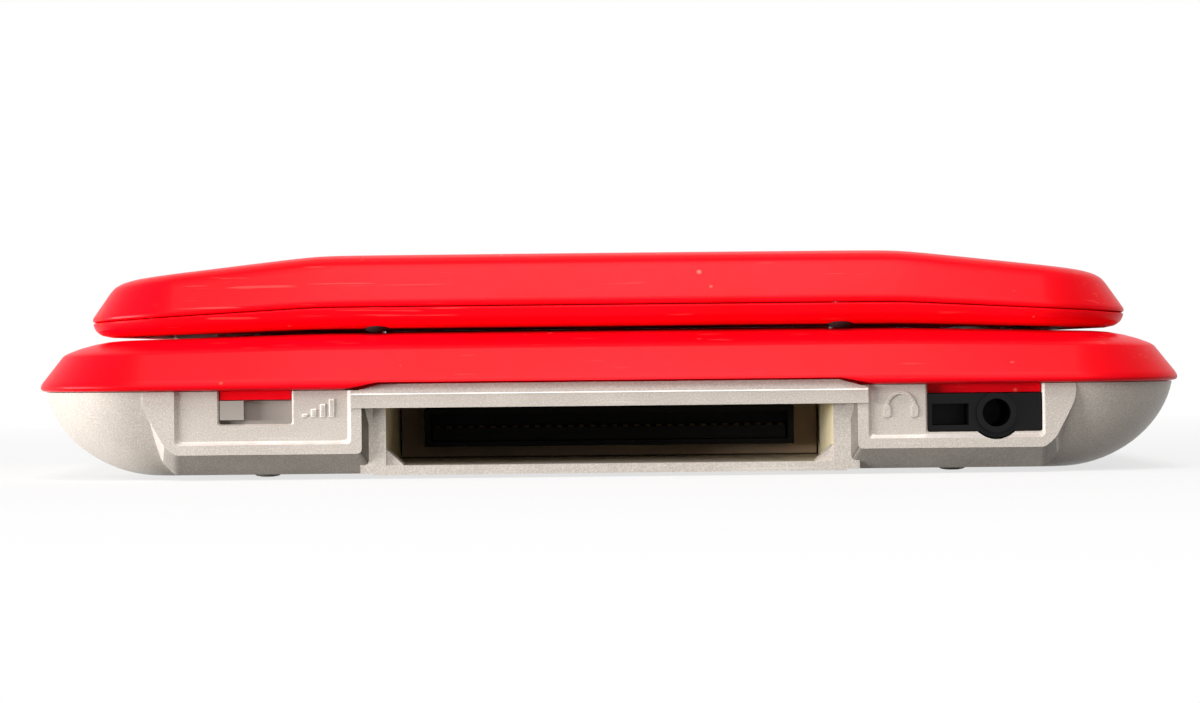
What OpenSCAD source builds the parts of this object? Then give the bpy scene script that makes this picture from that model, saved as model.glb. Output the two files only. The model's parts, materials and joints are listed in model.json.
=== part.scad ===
// Clamshell handheld game console: a hinged lid with one screen over a base with
// a touch screen, controls, a wide cartridge slot in front and a card slot behind.
// Frame: +X to the player's right, +Y away from the player, +Z up, lid closed.
// Origin: centre of the footprint, on the surface that the feet stand on.

/* [Base] */
// Width of the base over its red lip
base_w = 148.7; // [144:0.1:152]
// Depth of the base over its red lip
base_d = 84.7; // [82:0.1:87]
// Corner radius of the base seen from above
base_r = 15; // [14:0.5:17]
// Height that the feet lift the shell
foot_h = 0.5; // [0.3:0.1:0.8]
// Height of the seam between the lower and upper base shells
seam_z = 11.4; // [11.2:0.1:11.8]
// Height of the base's rim
rim_z = 18.7; // [18.5:0.1:19.2]
// How deep the control face lies below the rim
face_drop = 1.3; // [1.0:0.1:1.4]
// Thickness of the plate under the control face
face_t = 1.4; // [1.2:0.1:1.5]
// Thickness of the lower shell's floor
floor_t = 1.5; // [1.3:0.1:1.6]

/* [Lid] */
// Distance from the base's side lip to the lid's side
lid_side = 6.45; // [5.5:0.05:7.5]
// Distance from the base's front lip to the lid's front edge
lid_setback = 6; // [5.6:0.1:6.4]
// Distance from the lid panel's back edge to the hinge's axis
lid_hinge_gap = 4.55; // [4.5:0.05:5]
// Corner radius of the lid
lid_r = 12; // [10:0.5:14]
// Gap between the rims when closed
lid_gap = 0.6; // [0.4:0.1:0.8]
// Height of the lid's seam above its lower rim
lid_seam_h = 2.8; // [2.6:0.1:3.0]
// Thickness of the lid from rim to roof
lid_t = 9.6; // [9.4:0.1:10.2]
// Wall of the lid's roof
roof_t = 1.3; // [1.1:0.1:1.5]

/* [Screens] */
// Lit width of each screen as a share of the base's width
screen_share_w = 0.417; // [0.4:0.001:0.422]
// Lit height of each screen as a share of the base's depth
screen_share_d = 0.549; // [0.52:0.001:0.555]
// How far the clear window runs past the upper screen at each side
lens_margin_w = 5.8; // [5:0.1:6.4]
// How far the clear window runs past the upper screen above and below it
lens_margin_d = 4.05; // [3.5:0.05:4.4]

/* [Cartridge slot] */
// Height of the cartridge slot
slot_h = 7.4; // [7.2:0.1:7.5]
// Width of the game card slot at the back
card_w = 33.8; // [33.4:0.1:34.2]
// Height of the game card slot
card_h = 4.4; // [4.3:0.1:4.5]

/* [Controls] */
// Span of the direction pad
dpad_span = 19.6; // [18.5:0.1:19.8]
// Width of each arm of the direction pad
dpad_arm = 6.6; // [6:0.1:7]
// Diameter of each action button
action_d = 7.2; // [6.6:0.1:7.4]
// Distance from the centre of the cluster to each action button
action_offset = 7.8; // [7.6:0.1:8]
// Diameter of the start and select buttons
small_d = 4.4; // [4:0.1:4.8]
// Travel of the face buttons
button_travel = 0.7; // [0.5:0.05:0.7]
// How far the stylus stops short of the base's depth
stylus_short = 9.7; // [9:0.1:13]
// Diameter of the stylus
stylus_d = 4.4; // [4.2:0.1:4.5]
// Width of the volume slider's window
volume_w = 9.3; // [8.8:0.1:9.6]
// Width of the volume slider's knob
knob_w = 3.2; // [2.8:0.1:3.4]

/* [Sockets] */
// Diameter of the headphone bore
jack_d = 3.6; // [3.5:0.05:3.7]
// Depth of the headphone bore
jack_depth = 12; // [11:0.5:13]

/* [Hinge] */
// Radius of the hinge barrel
barrel_r = 4.3; // [4.1:0.1:4.4]
// Length of the lid's barrel as a share of the base's width
barrel_share = 0.444; // [0.43:0.001:0.45]
// Length of each ear on the base
ear_l = 8.6; // [8:0.1:9]
// Diameter of the hinge shaft
shaft_d = 4; // [3.8:0.1:4.2]

/* [Fits] */
// Clearance around the buttons in the control face
button_gap = 0.25; // [0.2:0.01:0.3]
// Clearance between pieces that only lie side by side
seat_gap = 0.1; // [0.08:0.01:0.12]
// Radial clearance of shafts in their bores
run_gap = 0.05; // [0.03:0.01:0.06]

/* [Hidden] */
eps = 0.01;
over = 1; // how far a cutter runs past the face that it opens
corner_steps = 8; // facets in each rounded corner of the shells
$fn = 48;

// ---- the layout is given in shares of the base's width and depth
function across(share) = share * base_w;
function along(share) = share * base_d;
front_y = -base_d / 2;
back_y = base_d / 2;
end_x = base_w / 2;

// ---- heights
face_z = rim_z - face_drop;
face_under = face_z - face_t;
floor_z = foot_h + floor_t;
lid_z = rim_z + lid_gap;
lid_seam_z = lid_z + lid_seam_h;
lid_top_z = lid_z + lid_t;
board_t = 1;
board_z = seam_z - 1.1;
board_top = board_z + board_t;

// ---- the wings: outside these creases the upper surfaces slope down to the ends
crease_x = across(0.2542);
rim_slope = 0.026;
roof_slope_rise = 0.0087; // extra slope for each millimetre above the rim
function wing_slope(z) =
  z <= seam_z ? 0 :
  z <= rim_z ? rim_slope * (z - seam_z) / (rim_z - seam_z) :
  rim_slope + roof_slope_rise * (z - rim_z);
function droop(x, z) = max(0, abs(x) - crease_x) * wing_slope(z);

// ---- outlines and skins
function arc(cx, cy, r, a0, a1, n) =
  [for (i = [0:n]) [cx + r * cos(a0 + (a1 - a0) * i / n), cy + r * sin(a0 + (a1 - a0) * i / n)]];

// Rounded rectangle of half sizes hw, hd with a point on each crease, anticlockwise from front left
function plan(hw, hd, r, n = corner_steps) = concat(
  [[-crease_x, -hd], [crease_x, -hd]],
  arc(hw - r, r - hd, r, -90, 0, n),
  arc(hw - r, hd - r, r, 0, 90, n),
  [[crease_x, hd], [-crease_x, hd]],
  arc(r - hw, hd - r, r, 90, 180, n),
  arc(r - hw, r - hd, r, 180, 270, n));

function rounded(w, d, r, n = 5) = concat(
  arc(w / 2 - r, r - d / 2, r, -90, 0, n),
  arc(w / 2 - r, d / 2 - r, r, 0, 90, n),
  arc(r - w / 2, d / 2 - r, r, 90, 180, n),
  arc(r - w / 2, r - d / 2, r, 180, 270, n));

module rounded_box(w, d, h, r, x = 0, y = 0, z = 0)
  translate([x, y, z]) linear_extrude(h) polygon(rounded(w, d, r));

// Box by its low and high corners
module span(lo, hi) translate(lo) cube(hi - lo);

// Solid through rings: each level is [inset, height] from the outline hw, hd, r about y0
module skin(levels, hw, hd, r, y0 = 0) {
  least_r = 1;
  n = corner_steps;
  ring = 4 * n + 8;
  points = [for (l = levels)
    for (p = plan(hw - l[0], hd - l[0], max(r - l[0], least_r), n))
      [p[0], p[1] + y0, l[1] - droop(p[0], l[1])]];
  right_end = [for (i = [1:2 * n + 4]) i];
  left_end = concat([for (i = [2 * n + 5:ring - 1]) i], [0]);
  middle = [0, 1, 2 * n + 4, 2 * n + 5];
  top = (len(levels) - 1) * ring;
  sides = [for (k = [0:len(levels) - 2], i = [0:ring - 1], half = [0, 1])
    let (a = k * ring + i, b = k * ring + (i + 1) % ring, c = b + ring, d = a + ring)
      half == 0 ? [a, d, c] : [a, c, b]];
  caps = concat(
    [for (f = [middle, right_end, left_end]) f],
    [for (f = [middle, right_end, left_end]) [for (i = [len(f) - 1:-1:0]) f[i] + top]]);
  polyhedron(points = points, faces = concat(sides, caps), convexity = 6);
}

// ---- the lower shell's bowl
lip_inset = 1.3; // the bowl's top edge behind the red lip
bowl_draft = 3;
bowl_round = 10;
bowl_steps = 9;
function bowl_inset(z) = let (u = min(1, (seam_z - z) / (seam_z - foot_h)))
  lip_inset + bowl_draft * u + bowl_round * (1 - sqrt(1 - u * u));
function bowl_levels() =
  [for (i = [0:bowl_steps]) let (z = seam_z - (seam_z - foot_h) * sin(90 * (1 - i / bowl_steps)))
    [bowl_inset(z), z]];
shell_wall = 1.2;
tray_z = floor_z + 0.05; // the inner frame's tray lies on the floor
tray_t = 0.6;
function tray_levels() = [for (l = hollow_levels()) [l[0] + seat_gap, l[1]]];
function hollow_levels() = let (top = seam_z + over)
  concat([for (i = [0:5]) let (z = floor_z + (seam_z - floor_z) * (i / 5) ^ 1.6)
    [bowl_inset(z - floor_t) + shell_wall, z]],
    [[bowl_inset(seam_z - floor_t) + shell_wall, top]]);
module base_skin(levels) skin(levels, base_w / 2, base_d / 2, base_r);

// ---- the upper base shell
lip_h = 0.9;
facet_run = 3; // how far the front facet leans in
facet_rise = 4.4;
shoulder_run = 7.6; // from the facet's top edge to the flat rim
function base_top_levels() = let (z0 = seam_z + seat_gap, zf = z0 + lip_h)
  [[1.2, z0], [0.35, z0 + 0.1], [0, z0 + 0.4], [0.2, zf + 0.3],
   [facet_run, zf + facet_rise], [facet_run + 0.1 * shoulder_run, zf + facet_rise + 0.4],
   [facet_run + 0.3 * shoulder_run, rim_z - 0.9], [facet_run + 0.55 * shoulder_run, rim_z - 0.4],
   [facet_run + shoulder_run, rim_z]];
top_wall = 1.7;
function base_top_hollow() =
  [[top_wall + 2.3, seam_z - over], [top_wall + 2.3, seam_z + 0.6], [top_wall + facet_run - 0.4,
    face_under]];

// ---- front of the base: two pads with a recessed panel each, and the slot's beam between them
pad_y = front_y + 1.4;
pad_z = 2.95;
slot_w = across(0.3847);
pad_inner_x = slot_w / 2 + 3;
pad_end_top = across(0.3995);
pad_end_bottom = pad_end_top - 4;
pad_side = 1.4; // how far the pads' sides slope outwards as they go back
panel_y = pad_y + 0.5;
panel_z = 5;
panel_inner_x = pad_inner_x + 1.8;
panel_outer_x = pad_end_top - 4.4;
mouth_y = pad_y + 1.5;
beam_top_z = seam_z + 0.9;
beam_w = slot_w + 10.2;
beam_crown_w = slot_w + 1.4;
beam_back_y = front_y + lip_inset + 1.65;
skirt_z = seam_z - 1.1;
skirt_inset = lip_inset + 2.4;
skirt_t = 0.8;

// ---- cartridge slot
slot_floor = foot_h + 1.2;
slot_roof = slot_floor + slot_h;
slot_wall = 1.6;
tunnel_w = slot_w + 2 * slot_wall;
tunnel_top = slot_roof + 1;
connector_y = mouth_y + along(0.3188);
connector_l = 8.5;
contacts_end = 10.7; // width of the slot that has no contacts, both ends together
tunnel_end = connector_y + connector_l;

// ---- card slot
card_z = 5.3;
card_roof = card_z + card_h;
card_l = 32;
cage_t = 0.3;
card_stop_y = back_y - 1.6 - card_l;
cage_end_y = back_y - 3;
power_end_y = back_y - 2.2;

// ---- front sockets and the volume control
volume_x = across(-0.3349);
volume_z = 7.2;
jack_window = [panel_outer_x - 14.5, panel_outer_x + 0.2];
jack_x = jack_window[1] - 5.9;
jack_z = 7.7;
jack_window_z = 5.3;
jack_ring_r = 3.2;
apron_y = front_y + 3.05;
apron_t = 0.5;
knob_z = volume_z + 0.55;
knob_h = 2.45;
volume_travel = volume_w - knob_w - 0.3;
apron_x0 = volume_x - volume_travel - 0.4;
apron_x1 = volume_x + volume_w + 0.4;
apron_top = skirt_z - 0.15;

// ---- battery bay
battery = [across(0.1735), along(0.4959), 5.6];
battery_x = across(-0.3046);
battery_y = 0;
battery_z = foot_h + 1.6;
bay_gap = 0.4;
cover_t = 1;
cover_w = battery[0] + 2.7;
cover_d = battery[1] + 8;
cover_y = battery_y + 1.7;
cover_screw_y = battery_y + battery[1] / 2 + 3;
bay_top = battery_z + battery[2] + 1.2;

// ---- power inlet and strap bar
power_x = across(-0.1816);
power_z = 7;
power_open = [7.6, 3.4];
strap_x = across(-0.2562);
strap_w = 6.2;
strap_xy = [strap_x, back_y - 1.9];
strap_r = 0.8;

// ---- stylus
stylus_l = base_d - stylus_short;
stylus_x = jack_window[0] - 3.5;
stylus_z = 7;
stylus_end_y = back_y - 0.4;
tube_r = stylus_d / 2 + 1;
tube_y0 = stylus_end_y - stylus_l - 1;
tube_y1 = back_y - 6;

// ---- screws that close the base, and the feet
screw_side_x = end_x - 9.85;
base_screw_xy = [[-screw_side_x, along(-0.2125)], [screw_side_x, along(-0.2125)], [-screw_side_x,
  along(0.1653)],
  [screw_side_x, along(0.1653)], [across(-0.1372), back_y - 13.75], [across(0.1614), back_y - 11.35]];
screw_shank_r = 1;
screw_head_r = 2;
boss_r = 2.9;
screw_head_z = 4.4;
screw_seat_z = screw_head_z + 1.2; // top of the lower shell's posts
screw_top = board_top + 3.2;
foot_r = 2;
foot_gap = 0.4; // between the front feet and the battery's cover
foot_front_y = cover_y - cover_d / 2 - foot_r - foot_gap;
foot_back_y = back_y - 18.85;
feet_xy = [[across(-0.3026), foot_front_y], [across(0.3026), foot_front_y],
  [across(-0.1681), foot_back_y], [across(0.1681), foot_back_y]];
foot_recess = 0.4;

// ---- controls
face_margin = [10.7, 13.85]; // rim round the control face, at the ends and at the front and back
face_w = base_w - 2 * face_margin[0];
face_d = base_d - 2 * face_margin[1];
face_y = -2.5;
dpad_xy = [across(-0.3362), along(-0.0118)];
action_xy = [across(0.3362), along(-0.0118)];
action_dirs = [[1, 0], [0, -1], [0, 1], [-1, 0]]; // A, B, X, Y
start_xy = [across(0.3739), along(0.2597)];
select_xy = [across(0.2986), along(0.2597)];
power_xy = [across(-0.3362), along(0.2597)];
power_size = [9, 4.4];
button_top = rim_z + 0.25;
flange_t = 0.8;
flange_r = 0.9;
dome_h = 0.5;
membrane_t = 0.6;
membrane_z = board_top + seat_gap;
dome_top = membrane_z + membrane_t + dome_h;
button_foot = dome_top + button_travel + seat_gap;
dpad_tilt_room = 0.35;
dpad_flange_z = face_under - 1.95;
dpad_pivot_z = membrane_z + 1.7;
dpad_hub_top = dpad_flange_z - 0.35;
lights_x = [across(0.3699), across(0.3968)];
lights_y = along(-0.3188);
light_r = 0.9;
mic_xy = [across(-0.2757), along(-0.2893)];

// ---- shoulder buttons
shoulder_x = across(0.3026);
shoulder_pin_inset = [2.5, 6.85];
shoulder_pin = [shoulder_x + shoulder_pin_inset[0], back_y - shoulder_pin_inset[1]];
shoulder_z = [6.8, 15.2];
shoulder_depth = 9.6;
shoulder_gap = 0.35;
shoulder_room = 1.4; // free depth behind each button for its travel
pin_r = 0.8;
pin_z0 = 4.6;
spring_r = 2.3;
spring_z = 5.15;

// ---- hinge
hinge_y = base_d / 2 - 0.45 - barrel_r;
hinge_z = rim_z + 3.9;
barrel_l = barrel_share * base_w;
ear_x = barrel_l / 2 + 0.4;
barrel_bore = 3.1;
bush_r = barrel_bore - 0.03;
cam_l = 13;
web_z = hinge_z - 2;
web_top = hinge_z + barrel_r - 0.5;

// ---- lid
lid_front = front_y + lid_setback;
lid_back = hinge_y - lid_hinge_gap;
lid_d = lid_back - lid_front;
lid_w = base_w - 2 * lid_side;
lid_mid_y = lid_front + lid_d / 2;
lid_wall = 1.6;
lid_face_z = lid_z + 0.7;
lid_face_t = 1.3;
function bezel_levels() =
  [[3.4, lid_z], [1.7, lid_z + 0.25], [0.7, lid_z + 0.95], [0.2, lid_z + 1.8], [0, lid_seam_z - 0.05]];
function cover_levels() = let (z = lid_seam_z + 0.05)
  [[0, z], [0, z + 0.5], [0.35, z + 0.85], [3.1, lid_top_z - 1.75], [3.8, lid_top_z - 1],
   [4.8, lid_top_z - 0.3], [6.4, lid_top_z]];
module lid_skin(levels) skin(levels, lid_w / 2, lid_d / 2, lid_r, lid_mid_y);
lens_t = 0.85;
screen_w = screen_share_w * base_w;
screen_h = screen_share_d * base_d;
lens_w = screen_w + 2 * lens_margin_w;
lens_h = screen_h + 2 * lens_margin_d;
screen_y = lid_mid_y;
lcd_over = [5, 4]; // how far each LCD's glass runs past its lit area
upper_lcd_z = lid_face_z + lid_face_t + 0.02;
lcd_t = 2.8;
speaker_x = across(0.3497);
speaker_r = 7.6;
speaker_hole_r = 0.7;
speaker_pitch = 2.6;
lid_screw_xy = [[across(-0.2017), lid_front + 3.6], [across(0.2017), lid_front + 3.6],
  [across(-0.3093), lid_back - 4.6],
  [across(0.3093), lid_back - 4.6]];
bumper_r = 1.9;

// ---- touch screen
touch_y = along(-0.0236);
touch_t = 1;
lower_lcd_z = board_top + 0.75;

module at(points) for (p = points) translate([p[0], p[1], 0]) children();
module mirror_x() { children(); mirror([1, 0, 0]) children(); }
module tube(r_out, r_in, h) difference() {
  cylinder(r = r_out, h = h);
  translate([0, 0, -over]) cylinder(r = r_in, h = h + 2 * over);
}
// Prism drawn in X and Z and pushed from y0 to y1
module wall_prism(points, y0, y1)
  translate([0, y1, 0]) rotate([90, 0, 0]) linear_extrude(y1 - y0) polygon(points);

// ============================================================ base shells
module pad_outline(grow) polygon([
  [pad_inner_x - grow, seam_z], [pad_inner_x - grow, pad_z - grow],
  [pad_end_bottom + 0.6 * grow, pad_z - grow], [pad_end_bottom + 1.4 + grow, pad_z + 1.2 - 0.5 * grow],
  [pad_end_top + 0.4 * grow, seam_z - 2], [pad_end_top + 0.4 * grow, seam_z]]);

module front_pad() {
  skin_t = 0.05;
  hull() {
    translate([0, pad_y + skin_t, 0]) rotate([90, 0, 0]) linear_extrude(skin_t) pad_outline(0);
    translate([0, mouth_y + skin_t, 0]) rotate([90, 0, 0]) linear_extrude(skin_t) pad_outline(pad_side);
  }
  translate([0, wall_front_y, 0]) rotate([90, 0, 0])
    linear_extrude(wall_front_y - mouth_y) pad_outline(pad_side);
}

// Flat back between the shoulder buttons
back_face_y = back_y - 1.3;
wall_front_y = front_y + 7;
wall_back_y = back_y - 12;
back_block_w = 2 * shoulder_x + 12.6;
back_block_z = 2.4;
module back_block() {
  w = back_block_w / 2;
  wall_prism([[-w, seam_z], [-w, back_block_z + 2], [-w + 3.5, back_block_z], [w - 3.5, back_block_z],
    [w, back_block_z + 2], [w, seam_z]], wall_back_y, back_face_y);
}

module slot_beam() {
  wall_prism([[-beam_w / 2, slot_roof], [beam_w / 2, slot_roof], [beam_w / 2, seam_z - 0.2],
    [-beam_w / 2, seam_z - 0.2]], pad_y, beam_back_y);
  hull() {
    span([-beam_w / 2, pad_y, seam_z - 0.2 - eps], [beam_w / 2, beam_back_y, seam_z - 0.2]);
    span([-beam_crown_w / 2, pad_y + 0.8, beam_top_z - eps], [beam_crown_w / 2, beam_back_y, beam_top_z]);
  }
}

module shoulder_block() intersection() {
  base_skin([[2.6, shoulder_z[0]], [1.5, shoulder_z[0] + 1.4], [1.2, shoulder_z[0] + 3.4],
    [1.2, shoulder_z[1] - 2.2], [1.8, shoulder_z[1] - 1], [3, shoulder_z[1]]]);
  span([shoulder_x, back_y - shoulder_depth, 0], [end_x + over, back_y + over, rim_z]);
}

// Room for a shoulder button, open outwards, with its travel behind
module shoulder_room_cut() {
  g = shoulder_gap;
  span([shoulder_x - g, back_y - shoulder_depth - shoulder_room, shoulder_z[0] - g],
    [end_x + over, back_y + over, shoulder_z[1] + g]);
}

module lower_shell() {
  difference() {
    union() {
      difference() {
        union() {
          base_skin(bowl_levels());
          mirror_x() front_pad();
          back_block();
          // sill of the cartridge slot
          span([-tunnel_w / 2 - 0.1, mouth_y, foot_h], [tunnel_w / 2 + 0.1, front_y + 12, slot_floor]);
        }
        base_skin(hollow_levels());
      }
      slot_beam();
      // posts that take the screws' heads
      intersection() {
        at(base_screw_xy) cylinder(r = boss_r, h = screw_seat_z);
        base_skin(bowl_levels());
      }
      // wall behind the strap recess
      span([strap_x - strap_w / 2 - 1, back_y - 6.4, back_block_z + 1],
        [strap_x + strap_w / 2 + 1, back_y - 2, board_z - seat_gap]);
      // seats for the shoulder pins
      mirror_x() translate([shoulder_pin[0], shoulder_pin[1], back_block_z + 2])
        cylinder(r = 3.6, h = shoulder_z[0] - shoulder_gap - back_block_z - 2);
    }
    // cartridge slot, and the room for its guide
    span([-slot_w / 2, front_y - over, slot_floor], [slot_w / 2, tunnel_end + over, slot_roof]);
    span([-tunnel_w / 2 - seat_gap, mouth_y - 0.02, slot_floor - seat_gap],
      [tunnel_w / 2 + seat_gap, tunnel_end + over, slot_roof]);
    span([-tunnel_w / 2 - seat_gap, beam_back_y, slot_floor],
      [tunnel_w / 2 + seat_gap, tunnel_end + over, tunnel_top + seat_gap]);
    // panels set into the pads
    mirror_x() span([panel_inner_x, front_y - over, panel_z], [panel_outer_x, panel_y, seam_z + over]);
    // volume window and the room for its slider
    span([volume_x, front_y - over, volume_z], [volume_x + volume_w, apron_y + 1, seam_z + over]);
    span([apron_x0 - 0.3, apron_y - seat_gap, volume_z - 0.5],
      [apron_x1 + volume_travel + 0.3, apron_y + 4, seam_z + over]);
    // headphone window
    span([jack_window[0], front_y - over, jack_window_z], [jack_window[1], front_y + 8, seam_z + over]);
    translate([jack_x, front_y + 8, jack_z]) rotate([90, 0, 0]) cylinder(r = jack_ring_r + 0.2,
      h = 8 + over);
    // card slot, power socket and stylus hole in the back wall
    span([-card_w / 2, back_y - 8, card_z], [card_w / 2, back_y + over, card_roof]);
    span([-card_w / 2 - cage_t - 0.05, back_y - 12, card_z - cage_t - 0.05],
      [card_w / 2 + cage_t + 0.05, cage_end_y + 0.1, card_roof + cage_t + 0.05]);
    span([power_x - 4.9, back_y - 12, power_z - 2.5], [power_x + 4.9, power_end_y + 0.1, seam_z + over]);
    rounded_slot([power_x, back_y + over, power_z], power_open[0], power_open[1], 8);
    stylus_bore();
    // strap recess
    span([strap_x - strap_w / 2, back_y - 5.4, 4.4], [strap_x + strap_w / 2, back_y + over, 9.4]);
    translate([strap_xy[0], strap_xy[1], 3.4]) cylinder(r = strap_r + 0.02, h = 7);
    // shoulder buttons
    mirror_x() shoulder_room_cut();
    mirror_x() translate([shoulder_pin[0], shoulder_pin[1], 0]) {
      translate([0, 0, pin_z0 - 0.1]) cylinder(r = pin_r + 0.02, h = 5);
      translate([0, 0, spring_z - 0.4]) cylinder(r = spring_r + 0.6, h = 5);
    }
    // battery bay and the rebate for its cover
    battery_cut();
    rounded_box(cover_w + 2 * seat_gap, cover_d + 2 * seat_gap, foot_h + cover_t + seat_gap, 2.5,
      battery_x, cover_y);
    translate([battery_x, cover_screw_y, foot_h]) cylinder(r = screw_shank_r + run_gap, h = 5);
    // screws and feet
    at(base_screw_xy) {
      cylinder(r = screw_head_r + 0.3, h = screw_head_z + seat_gap);
      cylinder(r = screw_shank_r + 0.2, h = board_z);
    }
    at(feet_xy) cylinder(r = foot_r + 0.05, h = foot_h + foot_recess);
  }
}

// The lower shell's bowl, and its front and back walls, which the bowl carries
module slice(y0, y1) intersection() {
  lower_shell();
  span([-end_x, y0, 0], [end_x, y1, rim_z]);
}
module base_bottom_shell() color("silver") slice(wall_front_y, wall_back_y);
module base_front_wall() color("silver") slice(front_y, wall_front_y);
module base_back_wall() color("silver") slice(wall_back_y, back_y);

// The cartridge's guide stands on the slot's sill and closes its sides and top
module slot_guide() color("silver") difference() {
  union() {
    span([-tunnel_w / 2, mouth_y, slot_floor], [tunnel_w / 2, beam_back_y + seat_gap,
      slot_roof - seat_gap]);
    span([-tunnel_w / 2, beam_back_y + seat_gap, slot_floor], [tunnel_w / 2, tunnel_end, tunnel_top]);
  }
  span([-slot_w / 2, mouth_y - over, slot_floor - over], [slot_w / 2, tunnel_end + over, slot_roof]);
}

// Tray on the floor that carries the battery bay and the stylus tube
module inner_frame() color("lightgray") intersection() {
  base_skin(tray_levels());
  difference() {
    union() {
      span([-end_x, front_y, tray_z], [end_x, back_y, tray_z + tray_t]);
      span([battery_x - battery[0] / 2 - 1.4, battery_y - battery[1] / 2 - 1.4, tray_z],
        [battery_x + battery[0] / 2 + 1.4, battery_y + battery[1] / 2 + 1.4, bay_top]);
      translate([battery_x, cover_screw_y, tray_z]) cylinder(r = 2.4, h = bay_top - tray_z);
      translate([stylus_x, tube_y1, stylus_z]) rotate([90, 0, 0]) cylinder(r = tube_r,
        h = tube_y1 - tube_y0);
      span([stylus_x - 0.8, tube_y0, tray_z], [stylus_x + 0.8, tube_y1, stylus_z]);
    }
    // room for the cartridge's guide and the lower shell's posts
    span([-tunnel_w / 2 - seat_gap, front_y, 0], [tunnel_w / 2 + seat_gap, tunnel_end + seat_gap, rim_z]);
    at(base_screw_xy) cylinder(r = boss_r + seat_gap, h = rim_z);
    stylus_bore();
    battery_cut();
    translate([battery_x, cover_screw_y, foot_h]) cylinder(r = screw_shank_r + run_gap, h = 5);
  }
}

// Spacers between the lower shell's posts and the board
module board_spacers() color("lightgray") at(base_screw_xy) translate([0, 0, screw_seat_z + seat_gap])
  tube(boss_r - 0.3, screw_shank_r + 0.2, board_z - screw_seat_z - 2 * seat_gap);

module stylus_bore() translate([stylus_x, back_y + over, stylus_z]) rotate([90, 0, 0])
  cylinder(d = stylus_d + 2 * 0.15, h = stylus_l + 1.4 + over);

module battery_cut()
  span([battery_x - battery[0] / 2 - bay_gap, battery_y - battery[1] / 2 - bay_gap, 0],
    [battery_x + battery[0] / 2 + bay_gap, battery_y + battery[1] / 2 + bay_gap, bay_top - 0.8]);

// Opening with rounded corners that runs towards -Y from a point
module rounded_slot(p, w, h, l)
  translate(p) rotate([90, 0, 0]) linear_extrude(l) polygon(rounded(w, h, 0.8));

module control_holes(z0, z1) {
  h = z1 - z0;
  g = button_gap;
  translate([0, 0, z0]) {
    for (d = action_dirs)
      translate([action_xy[0] + action_offset * d[0], action_xy[1] + action_offset * d[1], 0])
        cylinder(d = action_d + 2 * g, h = h);
    at([start_xy, select_xy]) cylinder(d = small_d + 2 * g, h = h);
    at([dpad_xy]) dpad_cross(dpad_span + 2 * dpad_tilt_room, dpad_arm + 2 * dpad_tilt_room, h);
    at([power_xy]) linear_extrude(h) polygon(rounded(power_size[0] + 2 * g, power_size[1] + 2 * g,
      power_size[1] / 2));
    for (x = lights_x) translate([x, lights_y, 0]) cylinder(r = light_r + 0.03, h = h);
    at([mic_xy]) cylinder(r = 0.6, h = h);
  }
}

module dpad_cross(s, a, h) {
  r = 0.8;
  linear_extrude(h) polygon(rounded(s, a, r));
  linear_extrude(h) polygon(rounded(a, s, r));
}

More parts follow.
